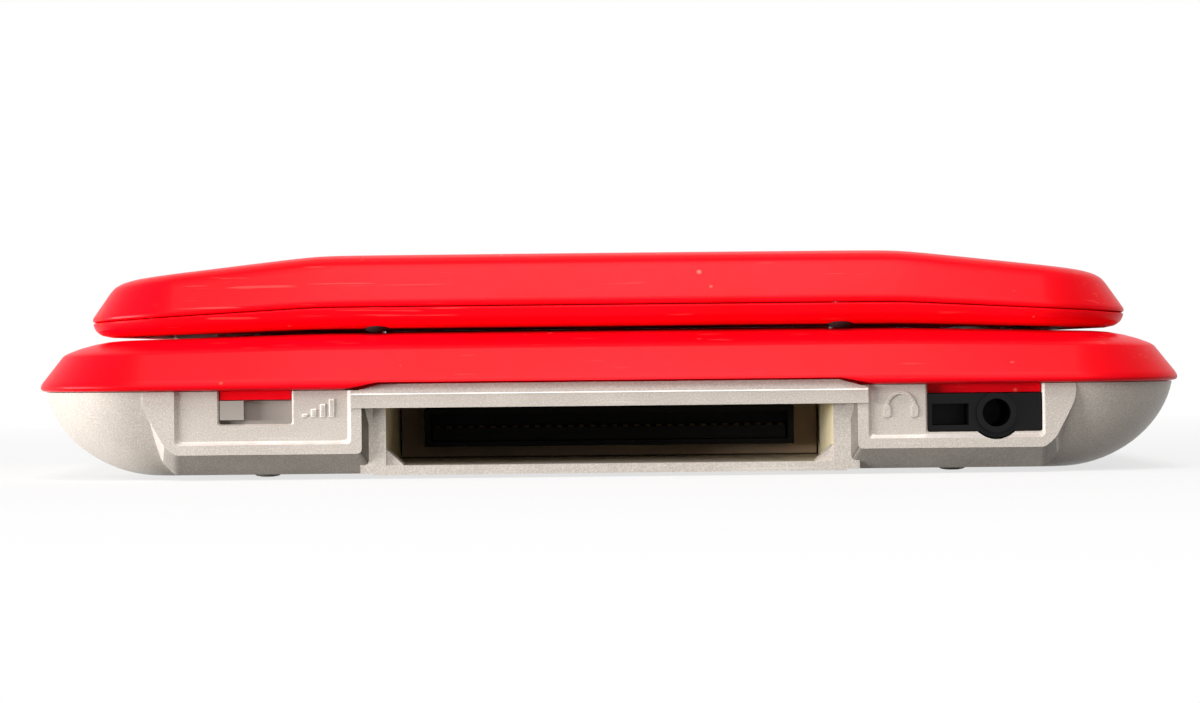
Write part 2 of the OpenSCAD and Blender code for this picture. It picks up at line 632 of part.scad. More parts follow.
module base_top_shell() color("red") {
  touch_w = screen_w + 0.6;
  touch_h = screen_h + 0.6;
  difference() {
    union() {
      difference() {
        base_skin(base_top_levels());
        base_skin(base_top_hollow());
        rounded_box(face_w + 2, face_d + 2, face_under - seam_z, 5, 0, face_y, seam_z);
      }
      // skirt that locates it inside the lower shell
      difference() {
        base_skin([[skirt_inset, skirt_z], [skirt_inset, seam_z + 1.5]]);
        base_skin([[skirt_inset + skirt_t, skirt_z - over], [skirt_inset + skirt_t, seam_z + 3]]);
      }
      // tabs that close the tops of the two front windows
      span([volume_x + 0.1, panel_y + 0.3, skirt_z], [volume_x + volume_w - 0.1,
        front_y + skirt_inset + 0.2, seam_z + 0.5]);
      span([jack_window[0] + 0.1, panel_y + 0.3, skirt_z], [jack_window[1] - 0.1,
        front_y + skirt_inset + 0.2, seam_z + 0.5]);
      at(base_screw_xy) translate([0, 0, board_top + seat_gap]) cylinder(r = boss_r,
        h = face_under - board_top + 0.4);
      // hinge ears
      mirror_x() {
        translate([ear_x, hinge_y, hinge_z]) rotate([0, 90, 0]) cylinder(r = barrel_r, h = ear_l);
        translate([ear_x, 0, 0]) rotate([90, 0, 90]) linear_extrude(ear_l)
          polygon([[hinge_y - 4, face_under], [back_y - 4.4, seam_z + 2.8], [hinge_y + barrel_r - 0.02,
            seam_z + 1.6],
            [hinge_y + barrel_r, hinge_z], [hinge_y - barrel_r, hinge_z]]);
      }
      mirror_x() translate([shoulder_pin[0], shoulder_pin[1], shoulder_z[1] + shoulder_gap])
        cylinder(r = 2, h = face_under + 0.6 - shoulder_z[1] - shoulder_gap);
    }
    // raised front edge over the slot's beam
    wall_prism([[-beam_w / 2 - 0.2, skirt_z - over], [beam_w / 2 + 0.2, skirt_z - over],
      [beam_w / 2 + 0.2, seam_z + seat_gap],
      [beam_crown_w / 2 + 0.2, beam_top_z + seat_gap], [-beam_crown_w / 2 - 0.2, beam_top_z + seat_gap],
      [-beam_w / 2 - 0.2, seam_z + seat_gap]], front_y - over, beam_back_y + seat_gap);
    // control face
    rounded_box(face_w, face_d, rim_z, 6, 0, face_y, face_z);
    control_holes(face_under - over, rim_z);
    at([dpad_xy]) translate([0, 0, face_z - 0.4]) cylinder(r = dpad_span / 2 + 2.2, h = over);
    // touch screen window and the pocket that takes its panel
    rounded_box(touch_w, touch_h, 4, 1.2, 0, touch_y, face_under - over);
    rounded_box(screen_w + 2 * lcd_over[0] + 0.6, screen_h + 2 * lcd_over[1] + 0.6, over + 0.25, 1, 0,
      touch_y, face_under - over);
    // trough under the lid's barrel and the gap around it
    translate([-ear_x, hinge_y, hinge_z]) rotate([0, 90, 0]) cylinder(r = barrel_r + 0.5, h = 2 * ear_x);
    // hinge bores
    translate([ear_x - over, hinge_y, hinge_z]) rotate([0, 90, 0]) cylinder(r = shaft_d / 2 + 0.02,
      h = 8);
    translate([-ear_x - 7, hinge_y, hinge_z]) rotate([0, 90, 0]) cylinder(r = bush_r + 0.02,
      h = 7 + over);
    // way for the display cable from the ear down to the board
    span([-ear_x - 5.4, hinge_y - 1, board_top], [-ear_x - 1.4, hinge_y + 1, hinge_z]);
    mirror_x() shoulder_room_cut();
    mirror_x() translate([shoulder_pin[0], shoulder_pin[1], shoulder_z[1]]) cylinder(r = pin_r + 0.02,
      h = 1.6);
    at(base_screw_xy) cylinder(r = screw_shank_r + 0.02, h = screw_top + 0.5);
  }
}

module battery_cover() color("silver") difference() {
  rounded_box(cover_w, cover_d, cover_t, 2.4, battery_x, cover_y, foot_h);
  translate([battery_x, cover_screw_y, 0]) cylinder(r = screw_shank_r + 0.1, h = 3);
  translate([battery_x, cover_screw_y, foot_h - over]) cylinder(r = screw_head_r - 0.1, h = over + 0.5);
  // grip ribs
  for (i = [0:4]) span([battery_x - 6, cover_y - cover_d / 2 + 4 + 1.6 * i, foot_h - over],
    [battery_x + 6, cover_y - cover_d / 2 + 4.7 + 1.6 * i, foot_h + 0.3]);
}

module cross_head(r, h, depth) difference() {
  cylinder(r = r, h = h);
  for (a = [0, 90]) rotate(a) translate([-r * 0.6, -0.25, -over]) cube([r * 1.2, 0.5, depth + over]);
}

module cover_screw() translate([battery_x, cover_screw_y, foot_h]) {
  cross_head(screw_head_r - 0.2, 0.5, 0.3);
  translate([0, 0, 0.4]) cylinder(r = screw_shank_r, h = 4);
}

module battery_pack() color("dimgray")
  rounded_box(battery[0], battery[1], battery[2], 1.2, battery_x, battery_y, battery_z);

module battery_contacts() color("gold") for (i = [0:2])
  translate([battery_x - 6 + 3 * i, battery_y + battery[1] / 2, battery_z + 1.2])
    translate([-0.6, 0.02, 0]) cube([1.2, bay_gap - 0.04, 3]);

module main_board() color("darkgreen") difference() {
  rounded_box(base_w - 9.4, base_d - 9.4, board_t, 10, 0, 0, board_z);
  at(base_screw_xy) translate([0, 0, board_z - over]) cylinder(r = screw_shank_r + 0.3,
    h = board_t + 2 * over);
  mirror_x() span([shoulder_x - 2, back_y - shoulder_depth - shoulder_room - 0.6, board_z - over],
    [end_x, back_y, board_top + over]);
  span([-ear_x - 6, back_y - 6.6, board_z - over], [-ear_x - 1, back_y, board_top + over]);
}

// ============================================================ slots and sockets
module cartridge_connector() color([0.09, 0.09, 0.1]) {
  w = slot_w - 0.4;
  zb = slot_floor + seat_gap;
  zt = slot_roof - seat_gap;
  difference() {
    span([-w / 2, connector_y, zb], [w / 2, tunnel_end - 0.6, zt]);
    span([-w / 2 + 2.8, connector_y - over, zb + 1.2], [w / 2 - 2.8, connector_y + 5.6, zt - 0.8]);
  }
  // tongue that the cartridge's board slides over
  span([-w / 2 + 3.6, connector_y + 1, zb + 2.3], [w / 2 - 3.6, connector_y + 6, zb + 4]);
}

module cartridge_contacts() color("gold") {
  n = 32;
  pitch = (slot_w - contacts_end) / (n - 1);
  for (i = [0:n - 1])
    translate([(i - (n - 1) / 2) * pitch - 0.35, connector_y + 1.4, slot_floor + seat_gap + 4])
      cube([0.7, 4.2, 0.25]);
}

module card_cage() color("lightgray") {
  w = card_w / 2 + cage_t;
  y1 = cage_end_y;
  span([-w, card_stop_y, card_roof], [w, y1, card_roof + cage_t]);
  mirror_x() {
    span([w - cage_t, card_stop_y, card_z - cage_t], [w, y1, card_roof + eps]);
    span([w - cage_t - 4, card_stop_y, card_z - cage_t], [w, y1, card_z]);
  }
}

module card_connector() color([0.1, 0.1, 0.11]) difference() {
  span([-card_w / 2 - 0.3, card_stop_y - 5, card_z - cage_t], [card_w / 2 + 0.3, card_stop_y - 0.02,
    board_z - 0.02]);
  for (i = [0:16]) translate([(i - 8) * 1.6 - 0.3, card_stop_y - 2.6, card_z]) cube([0.6, 4, 1.4]);
}

module power_socket() color([0.1, 0.1, 0.11]) {
  y1 = power_end_y;
  difference() {
    span([power_x - 4.8, y1 - 9, power_z - 2.4], [power_x + 4.8, y1, board_z - 0.02]);
    rounded_slot([power_x, y1 + over, power_z], power_open[0] - 0.6, power_open[1] - 0.6, 8);
  }
  span([power_x - 2.3, y1 - 8, power_z - 0.4], [power_x + 2.3, y1 - 1, power_z + 0.4]);
}

module headphone_jack() color([0.1, 0.1, 0.11]) {
  x0 = jack_window[0] + seat_gap;
  x1 = jack_window[1] - seat_gap;
  y0 = panel_y + 0.35;
  y1 = pad_y + 0.25 + jack_depth + 1.4;
  z0 = jack_window_z + seat_gap;
  z1 = skirt_z - seat_gap;
  difference() {
    union() {
      span([x0, y0, z0], [x1, y1, z1]);
      translate([jack_x, front_y + 6, jack_z]) rotate([90, 0, 0]) cylinder(r = jack_ring_r,
        h = front_y + 6 - y0);
      translate([jack_x, y0 + eps, jack_z]) rotate([90, 0, 0]) cylinder(r = 2.55, h = y0 - pad_y - 0.25);
    }
    translate([jack_x, pad_y + 0.25 + jack_depth, jack_z]) rotate([90, 0, 0]) cylinder(d = jack_d,
      h = jack_depth + over);
    span([x0 + 0.5, y0 - over, jack_z - 1.55], [x0 + 5.2, y0 + 6, jack_z + 1.2]);
    span([x0 - over, y0 - 2, z1 - eps], [x1 + over, y1, z1 + 4]);
  }
}

module volume_control() color("lightgray") difference() {
  y0 = apron_y + apron_t + 0.6;
  span([volume_x - 4.5, y0, volume_z - 0.4], [volume_x + volume_w + 4.5, y0 + 4.4, board_z - 0.02]);
  span([volume_x + 0.2, y0 - over, knob_z + 0.2], [volume_x + volume_travel + 2.7, y0 + 2,
    knob_z + knob_h - 0.5]);
}

module volume_slider() color("gray") {
  span([volume_x + 0.15, pad_y + 0.15, knob_z], [volume_x + 0.15 + knob_w - 0.15, apron_y + eps,
    knob_z + knob_h]);
  span([apron_x0, apron_y, volume_z - 0.3], [apron_x1, apron_y + apron_t, apron_top]);
  span([volume_x + 0.6, apron_y + apron_t - eps, knob_z + 0.4], [volume_x + 2.4, apron_y + apron_t + 2,
    knob_z + knob_h - 0.7]);
}

// ============================================================ screen, lights, radio
module touch_panel() color([0.16, 0.17, 0.18])
  rounded_box(screen_w + 2 * lcd_over[0], screen_h + 2 * lcd_over[1], touch_t, 0.6, 0, touch_y,
    face_under + 0.15 - touch_t);

module lower_lcd() color([0.2, 0.21, 0.22])
  rounded_box(screen_w + 2 * lcd_over[0] - 0.8, screen_h + 2 * lcd_over[1] - 0.8, lcd_t, 0.5, 0,
    touch_y, lower_lcd_z);

module lower_lcd_frame() color("lightgray") {
  w = screen_w + 2 * lcd_over[0];
  d = screen_h + 2 * lcd_over[1];
  difference() {
    rounded_box(w, d, lcd_t + 0.15, 0.5, 0, touch_y, lower_lcd_z - 0.4);
    rounded_box(w - 0.7, d - 0.7, lcd_t + over, 0.4, 0, touch_y, lower_lcd_z - 0.05);
  }
}

module radio_module() color("lightgray")
  rounded_box(17, 24, 2.6, 0.5, across(0.3484), along(-0.0472), board_z - seat_gap - 2.6);

module microphone() color("dimgray") at([mic_xy])
  translate([0, 0, board_top + seat_gap]) cylinder(r = 2.4, h = face_under - board_top - 2 * seat_gap);

module status_lights() color("whitesmoke") for (x = lights_x) translate([x, lights_y, 0]) {
  translate([0, 0, board_top + seat_gap]) cylinder(r = light_r, h = face_z + 0.1 - board_top - seat_gap);
  translate([0, 0, face_under - seat_gap - 0.8]) cylinder(r = light_r + 0.7, h = 0.8);
}

// ============================================================ controls
module round_button(d, top) {
  translate([0, 0, button_foot]) cylinder(d = d - 1.2, h = top - 0.6 - button_foot);
  translate([0, 0, face_under - seat_gap - flange_t]) cylinder(d = d + 2 * flange_r, h = flange_t);
  translate([0, 0, face_under - seat_gap - eps]) cylinder(d = d, h = top - 0.45 - face_under + seat_gap);
  translate([0, 0, top - 0.45 - eps]) cylinder(d1 = d, d2 = d - 0.9, h = 0.45);
}

module dome(r) {
  cylinder(r = r, h = membrane_t);
  translate([0, 0, membrane_t - eps]) cylinder(r1 = r * 0.7, r2 = r * 0.55, h = dome_h + eps);
}

module action_at(i) translate([action_xy[0] + action_offset * action_dirs[i][0],
  action_xy[1] + action_offset * action_dirs[i][1], 0]) children();

module button_a() color("lightgray") action_at(0) round_button(action_d, button_top);
module button_b() color("lightgray") action_at(1) round_button(action_d, button_top);
module button_x() color("lightgray") action_at(2) round_button(action_d, button_top);
module button_y() color("lightgray") action_at(3) round_button(action_d, button_top);

module action_membrane() color("gainsboro") {
  translate([action_xy[0], action_xy[1], membrane_z]) cylinder(r = action_offset + 2,
    h = membrane_t - 0.2);
  for (i = [0:3]) action_at(i) translate([0, 0, membrane_z]) dome(action_d / 2);
}

small_top = button_top - 0.6;
module button_start() color("lightgray") at([start_xy]) round_button(small_d, small_top);
module button_select() color("lightgray") at([select_xy]) round_button(small_d, small_top);
module system_membrane() color("gainsboro") {
  mid = (start_xy + select_xy) / 2;
  translate([mid[0], mid[1], membrane_z]) linear_extrude(membrane_t - 0.2)
    polygon(rounded(start_xy[0] - select_xy[0] + small_d, small_d + 1.6, 1.5));
  at([start_xy, select_xy]) translate([0, 0, membrane_z]) dome(small_d / 2);
}

module power_button() color("lightgray") at([power_xy]) {
  w = power_size[0];
  d = power_size[1];
  switch_top = board_top + 2.2;
  translate([0, 0, face_under - seat_gap - flange_t]) linear_extrude(flange_t) polygon(rounded(w + 1.6,
    d + 1.6, d / 2));
  translate([0, 0, face_under - seat_gap - eps]) linear_extrude(small_top - face_under + seat_gap)
    polygon(rounded(w, d, d / 2 - 0.05, 8));
  translate([0, 0, switch_top + button_travel + seat_gap]) cylinder(r = 1.2,
    h = face_under - switch_top - button_travel - 0.9);
}

module power_switch() color("lightgray") at([power_xy]) {
  translate([-3, -1.8, board_top + 0.02]) cube([6, 3.6, 1.6]);
  translate([0, 0, board_top + 1.6]) cylinder(r = 0.9, h = 0.6);
}

module dpad_membrane() color("gainsboro") at([dpad_xy]) {
  reach = dpad_span / 2 - 2.6;
  translate([0, 0, membrane_z]) tube(dpad_span / 2 + 1.5, 3.6, membrane_t - 0.2);
  for (a = [0:90:270]) rotate(a) translate([reach, 0, membrane_z]) dome(2.6);
}

module dpad_hub() color("gainsboro") at([dpad_xy]) translate([0, 0, membrane_z + 0.3])
  tube(3.1, 1.7, dpad_hub_top - membrane_z - 0.3);

module dpad() color("lightgray") at([dpad_xy]) difference() {
  union() {
    translate([0, 0, dpad_flange_z]) cylinder(r = dpad_span / 2 + 0.9, h = 1);
    translate([0, 0, dpad_flange_z + 0.9]) dpad_cross(dpad_span, dpad_arm,
      button_top - dpad_flange_z - 0.9);
    // plungers over the domes, and the pivot nub
    for (a = [0:90:270]) rotate(a) translate([dpad_span / 2 - 2.6, 0, dome_top + 0.6])
      cylinder(r = 1.3, h = dpad_flange_z - dome_top - 0.5);
    translate([0, 0, dpad_pivot_z]) sphere(r = 1.5);
    translate([0, 0, dpad_pivot_z]) cylinder(r = 1.25, h = dpad_flange_z - dpad_pivot_z + 0.2);
  }
  translate([0, 0, button_top + 8.4]) sphere(r = 9);
}

module shoulder_button() difference() {
  union() {
    shoulder_block();
  }
  // weight relief behind the outer wall, and the bore for its pin
  translate([shoulder_pin[0], shoulder_pin[1], 0]) cylinder(r = pin_r + run_gap, h = rim_z);
  span([shoulder_pin[0] + 4, back_y - shoulder_depth - over, shoulder_z[0] + 1.6],
    [end_x - 11, back_y - shoulder_depth + 4.6, shoulder_z[1] - 1.6]);
}
module shoulder_right() color("silver") shoulder_button();
module shoulder_left() color("silver") mirror([1, 0, 0]) shoulder_button();

module shoulder_pins() color("lightgray") mirror_x()
  translate([shoulder_pin[0], shoulder_pin[1], pin_z0]) cylinder(r = pin_r,
    h = shoulder_z[1] + 1.4 - pin_z0);

// Torsion coils seated on the pins' posts, below the buttons
module shoulder_springs() color("gray") mirror_x() translate([shoulder_pin[0], shoulder_pin[1], 0]) {
  wire = 0.35;
  for (i = [0:1]) translate([0, 0, spring_z + 0.85 * i]) rotate_extrude() translate([spring_r, 0])
    circle(r = wire);
}

module shoulder_switches() color("dimgray") mirror_x()
  span([shoulder_x + 12, back_y - shoulder_depth - shoulder_room - 3.6, board_z - 2.6],
    [shoulder_x + 17, back_y - shoulder_depth - shoulder_room - 0.2, board_z - 0.02]);

module stylus() color("silver") translate([stylus_x, stylus_end_y, stylus_z]) rotate([90, 0, 0]) {
  r = stylus_d / 2;
  tip = 9;
  difference() {
    cylinder(r = r, h = stylus_l - tip);
    translate([-r, r * 0.55, 1.6]) cube([2 * r, r, 1.2]);
  }
  translate([0, 0, stylus_l - tip - eps]) cylinder(r1 = r, r2 = 1.1, h = tip - 1.6);
  translate([0, 0, stylus_l - 1.8]) cylinder(r = 0.75, h = 1.4);
}

module strap_bar() color("lightgray") translate([strap_xy[0], strap_xy[1], 3.5]) cylinder(r = strap_r,
  h = 6.8);

// The shells' screws, and the one that holds the battery cover
module base_screws() color("dimgray") {
  at(base_screw_xy) {
    translate([0, 0, screw_head_z - 1.2]) cross_head(screw_head_r, 1.2, 0.6);
    translate([0, 0, screw_head_z - eps]) cylinder(r = screw_shank_r, h = screw_top - screw_head_z);
  }
  cover_screw();
}

module rubber_feet() color("dimgray") at(feet_xy) {
  translate([0, 0, 0.2]) cylinder(r = foot_r, h = foot_h + foot_recess - 0.25);
  cylinder(r1 = foot_r - 0.2, r2 = foot_r, h = 0.2 + eps);
}

// ============================================================ hinge and cables
module along_hinge(x) translate([x, hinge_y, hinge_z]) rotate([0, 90, 0]) children();

module hinge_shaft() color("lightgray") {
  along_hinge(barrel_l / 2 - cam_l + 1) cylinder(d = shaft_d, h = cam_l + 6);
}

module hinge_bush() color("gray") difference() {
  along_hinge(-ear_x - 6.6) tube(bush_r, 2.2, 6.6 + 6);
  span([-ear_x - 5.4, hinge_y - 1, hinge_z - 4], [-ear_x - 1.4, hinge_y + 1, hinge_z - 1]);
}

module hinge_cam() color("dimgray") along_hinge(barrel_l / 2 - cam_l)
  difference() {
    cylinder(r = barrel_bore, h = cam_l - 0.1);
    translate([0, 0, 0.9]) cylinder(r = shaft_d / 2 + run_gap, h = cam_l + over);
  }

module board_flex_cable() color("orange") {
  x0 = -ear_x - 4.8;
  x1 = -ear_x - 2;
  along_hinge(-ear_x - 6.2) cylinder(r = 1.2, h = 9);
  difference() {
    span([x0, hinge_y - 0.15, board_top + 0.05], [x1, hinge_y + 0.15, hinge_z]);
    along_hinge(x0 - over) cylinder(r = 1.19, h = x1 - x0 + 2 * over);
  }
}

module lid_flex_cable() color("orange") {
  x0 = -ear_x + 3.2;
  x1 = x0 + 3;
  tail_w = 4;
  z0 = web_z + 2.45;
  film_t = 0.2;
  along_hinge(x0) cylinder(r = 1.2, h = 2 * tail_w);
  y0 = screen_y + screen_h / 2 + lcd_over[1] + 0.1;
  span([x1, y0, z0], [x1 + tail_w, hinge_y - 0.4, z0 + film_t]);
  span([x1, y0, z0], [x1 + tail_w, y0 + film_t, upper_lcd_z + lcd_t]);
}

// ============================================================ lid
module speaker_grille(z0, h) for (i = [-2:2], j = [-2:2])
  if (abs(i) + abs(j) <= 3)
    translate([i * speaker_pitch, lid_mid_y + j * speaker_pitch, z0]) cylinder(r = speaker_hole_r, h = h);

module lid_bezel() color("red") {
  inner_z = lid_face_z + lid_face_t;
  difference() {
    union() {
      difference() {
        lid_skin(bezel_levels());
        lid_skin([[lid_wall + 1.2, inner_z], [lid_wall, lid_seam_z + over]]);
      }
      at(lid_screw_xy) translate([0, 0, inner_z - 0.3]) cylinder(r = 2.6, h = lid_seam_z - inner_z + 0.3);
      // web and barrel
      span([-barrel_l / 2, lid_back - 3, web_z], [barrel_l / 2, hinge_y, web_top]);
      along_hinge(-barrel_l / 2) cylinder(r = barrel_r, h = barrel_l);
    }
    // inner face
    rounded_box(lid_w - 11.4, lid_d - 13, over + lid_face_z - lid_z, 6, 0, lid_mid_y - 0.5, lid_z - over);
    // window for the lens, with its ledge
    rounded_box(lens_w + 2 * seat_gap, lens_h + 2 * seat_gap, lens_t + over, 3, 0, screen_y,
      lid_face_z - over + seat_gap);
    rounded_box(screen_w + 4, screen_h + 4, 6, 1.5, 0, screen_y, lid_face_z);
    mirror_x() translate([speaker_x, 0, 0]) speaker_grille(lid_face_z - over, lid_face_t + 2 * over);
    at(lid_screw_xy) {
      cylinder(r = bumper_r + 0.05, h = lid_face_z + 0.5);
      cylinder(r = screw_shank_r + 0.1, h = lid_seam_z + over);
    }
    // bore through the barrel, and the cable's way into the lid
    along_hinge(-barrel_l / 2 - over) cylinder(r = barrel_bore + 0.02, h = barrel_l + 2 * over);
    span([-ear_x + 5, lid_back - lid_wall - 7, web_z + 1.8], [-ear_x + 11, hinge_y, web_z + 3.2]);
  }
}

module lid_cover() color("red") {
  difference() {
    union() {
      difference() {
        lid_skin(cover_levels());
        lid_skin([[lid_wall, lid_seam_z - over], [lid_wall + 0.2, lid_seam_z + 0.6],
          [lid_wall + 3, lid_top_z - 2.6], [lid_wall + 4, lid_top_z - roof_t]]);
      }
      // posts that take the lid's screws
      intersection() {
        at(lid_screw_xy) translate([0, 0, lid_seam_z + seat_gap]) cylinder(r = 2.4, h = lid_t);
        lid_skin([[lid_wall, lid_seam_z - over], [lid_wall + 3.5, lid_top_z - roof_t + 0.3]]);
      }
    }
    // notch for the web of the barrel
    span([-barrel_l / 2 - seat_gap, lid_back - 3 - seat_gap, lid_z], [barrel_l / 2 + seat_gap,
      lid_back + over, web_top + seat_gap]);
    at(lid_screw_xy) translate([0, 0, lid_seam_z]) cylinder(r = screw_shank_r + 0.02, h = 3.6);
  }
}

module upper_lens() color([0.14, 0.15, 0.16])
  rounded_box(lens_w, lens_h, lens_t, 2.9, 0, screen_y, lid_face_z + 0.02);

module upper_lcd() color([0.2, 0.21, 0.22])
  rounded_box(screen_w + 2 * lcd_over[0], screen_h + 2 * lcd_over[1], lcd_t, 0.5, 0, screen_y,
    upper_lcd_z);

module upper_lcd_frame() color("lightgray")
  rounded_box(screen_w + 2 * lcd_over[0], screen_h + 2 * lcd_over[1], 0.4, 0.5, 0, screen_y,
    upper_lcd_z + lcd_t + 0.02);

module speakers() color("dimgray") for (x = [-speaker_x, speaker_x])
  translate([x, lid_mid_y, lid_face_z + lid_face_t + 0.1]) {
    cylinder(r = speaker_r, h = 1.2);
    translate([0, 0, 1.2 - eps]) cylinder(r = speaker_r - 2.4, h = 1);
  }

module lid_screws() color("dimgray") at(lid_screw_xy) {
  z = lid_face_z + 0.5;
  translate([0, 0, z - 0.65]) cross_head(1.6, 0.65, 0.35);
  translate([0, 0, z - eps]) cylinder(r = screw_shank_r, h = lid_seam_z + 3.2 - z);
}

module lid_bumpers() color("dimgray") for (p = lid_screw_xy) {
  z = rim_z - droop(p[0], rim_z) + 0.08;
  translate([p[0], p[1], z]) cylinder(r = bumper_r, h = lid_face_z - 0.2 - z);
}

base_bottom_shell();
base_front_wall();
base_back_wall();
slot_guide();
inner_frame();
board_spacers();
base_top_shell();
battery_cover();
battery_pack();
battery_contacts();
main_board();
cartridge_connector();
cartridge_contacts();
card_cage();
card_connector();
power_socket();
headphone_jack();
volume_control();
volume_slider();
touch_panel();
lower_lcd();
lower_lcd_frame();
radio_module();
microphone();
status_lights();
dpad_membrane();
dpad_hub();
dpad();
action_membrane();
button_a();
button_b();
button_x();
button_y();
system_membrane();
button_start();
button_select();
power_button();
power_switch();
shoulder_left();
shoulder_right();
shoulder_pins();
shoulder_springs();
shoulder_switches();
stylus();
strap_bar();
base_screws();
rubber_feet();
board_flex_cable();
hinge_shaft();
hinge_bush();
lid_bezel();
lid_cover();
upper_lens();
upper_lcd();
upper_lcd_frame();
speakers();
lid_screws();
lid_bumpers();
hinge_cam();
lid_flex_cable();
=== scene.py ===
"""Looks for a clamshell handheld game console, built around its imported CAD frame.

Lengths are in millimetres in the row's frame until a mesh is made; MM turns them into metres. The
lamps' places and the floor's bright zone are in metres.
"""
import json
import math

import bmesh
import bpy
from mathutils import Matrix, Vector


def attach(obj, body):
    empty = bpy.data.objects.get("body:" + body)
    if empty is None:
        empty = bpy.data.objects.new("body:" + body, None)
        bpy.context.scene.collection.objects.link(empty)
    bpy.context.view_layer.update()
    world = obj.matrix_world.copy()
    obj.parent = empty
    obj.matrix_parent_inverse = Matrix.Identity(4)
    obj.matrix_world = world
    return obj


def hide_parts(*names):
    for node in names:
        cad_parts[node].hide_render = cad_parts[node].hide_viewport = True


MM = 0.001
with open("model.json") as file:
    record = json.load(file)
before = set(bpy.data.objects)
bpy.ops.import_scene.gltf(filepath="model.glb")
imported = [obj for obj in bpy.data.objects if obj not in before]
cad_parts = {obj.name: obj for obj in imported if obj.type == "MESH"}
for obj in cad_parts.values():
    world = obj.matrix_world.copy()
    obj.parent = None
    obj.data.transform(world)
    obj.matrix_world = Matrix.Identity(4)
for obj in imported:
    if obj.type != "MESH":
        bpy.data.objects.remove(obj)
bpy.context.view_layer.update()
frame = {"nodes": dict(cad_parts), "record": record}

# ------------------------------------------------------------------ sizes, as the frame has them
OVER = 1  # how far a cutter runs past the face that it opens
FIT = 0.1  # clearance between pieces that lie side by side
CUT_TOP = 13  # height to which the cutters run that are open at the seam
OVER_BASE, UNDER_LID = 22, 18  # heights past the base's control face and the lid's inner face
# base: half width, half depth and corner radius
BASE_HW, BASE_HD, BASE_R = 74.35, 42.35, 15
FRONT, BACK = -BASE_HD, BASE_HD
# heights of the base: underside, seam of its shells, rim, control face and that face's inner side
FOOT_H = 0.5
SEAM_Z, RIM_Z, FACE_Z, FACE_UNDER = 11.4, 18.7, 17.4, 16.0
# control face: width, depth and middle
FACE_W, FACE_D, FACE_Y = 127.3, 57, -2.5
# bowl under the seam, at its ends and at its front and back: inset at the seam, straight lean and turn
BOWL_ENDS, BOWL_SIDES = (0.65, 2, 13), (1.45, 2.4, 6)
WALL, FLOOR_T = 1.3, 1.5  # thickness of the bowl
# lid: lowest height, half width, front, back and corner radius
LID_Z = 19.3
LID_HW, LID_FRONT, LID_BACK, LID_R = 67.9, -36.35, 33.05, 12
LID_HD, LID_MID = (LID_BACK - LID_FRONT) / 2, (LID_BACK + LID_FRONT) / 2
# hinge: axis, the lid's barrel, and the base's ears beside it
HINGE_Y, HINGE_Z, BARREL_R, BARREL_HALF, EAR_L = 37.6, 22.6, 4.3, 33.0, 8.6
EAR_X = BARREL_HALF + 0.4
# outside its creases each shell hangs down towards its ends
CREASE_X, CREASE_SOFT = 37.8, 2.4
RIM_SLOPE, ROOF_SLOPE_RISE = 0.026, 0.0087
# front faces: the beam over the slot, the pads beside it, the panels in them and the slot's mouth
BEAM_Y, PAD_Y, PANEL_Y, MOUTH_Y = -41.25, -40.95, -40.45, -39.45
BEAM_BACK, BEAM_CREASE = -39.4, (10.8, 10.93)
BEAM_ENDS, BEAM_MIDDLE = (33.4, 11.05), (29.2, 12.15)
PAD_X, PAD_END, PAD_LOW, PAD_SLOPE, PAD_SPREAD = 31.6, 59.4, 3.3, 2.6, 1.4
PANEL_X, PANEL_Z = (33.4, 55.0), 5.0
# cartridge slot, the tunnel of its guide, and the connector at its end
SLOT_HW, SLOT_FLOOR, SLOT_ROOF, SLOT_END, TUNNEL_HW, TUNNEL_TOP = 28.6, 1.7, 9.1, -3.95, 30.2, 10.1
CONNECTOR_Y, GUIDE_Y = -12.45, -38.6
CONNECTOR_HW, CONNECTOR_LOW, SOCKET_Z, RIBS_X = 25, 3.3, (4.0, 7.7), (-16, -8, 8, 16)
# openings at the front: volume control and headphone jack
VOLUME_X, VOLUME_W, VOLUME_Z, APRON_Y = -49.8, 9.3, 7.2, -39.3
JACK_X0, JACK_X1, JACK_X, JACK_Z, JACK_LOW, JACK_RING_R = 40.5, 55.2, 49.3, 7.7, 5.3, 3.4
JACK_DEPTH = 8
# openings at the back: game card, power inlet, stylus, strap and shoulder buttons
CARD_HW, CARD_LOW, CARD_HIGH, CAGE_ROOM = 16.9, 5.3, 9.7, 0.35
INLET_X, INLET_Z, INLET_SIZE, INLET_ROOM = -27.0, 7, (7.6, 3.4, 0.8), 4.9
STYLUS_X, STYLUS_Z, STYLUS_R, STYLUS_END = 37.0, 7.0, 2.2, -34.5
STRAP_X, STRAP_Z, STRAP_NICHE = -38.1, 6.9, (6.2, 5, 0.8)
SHOULDER_X, SHOULDER_Z, SHOULDER_D, SHOULDER_GAP, SHOULDER_ROOM = 45.0, (6.8, 15.2), 9.6, 0.35, 1.4
PIN = (47.5, 35.5)
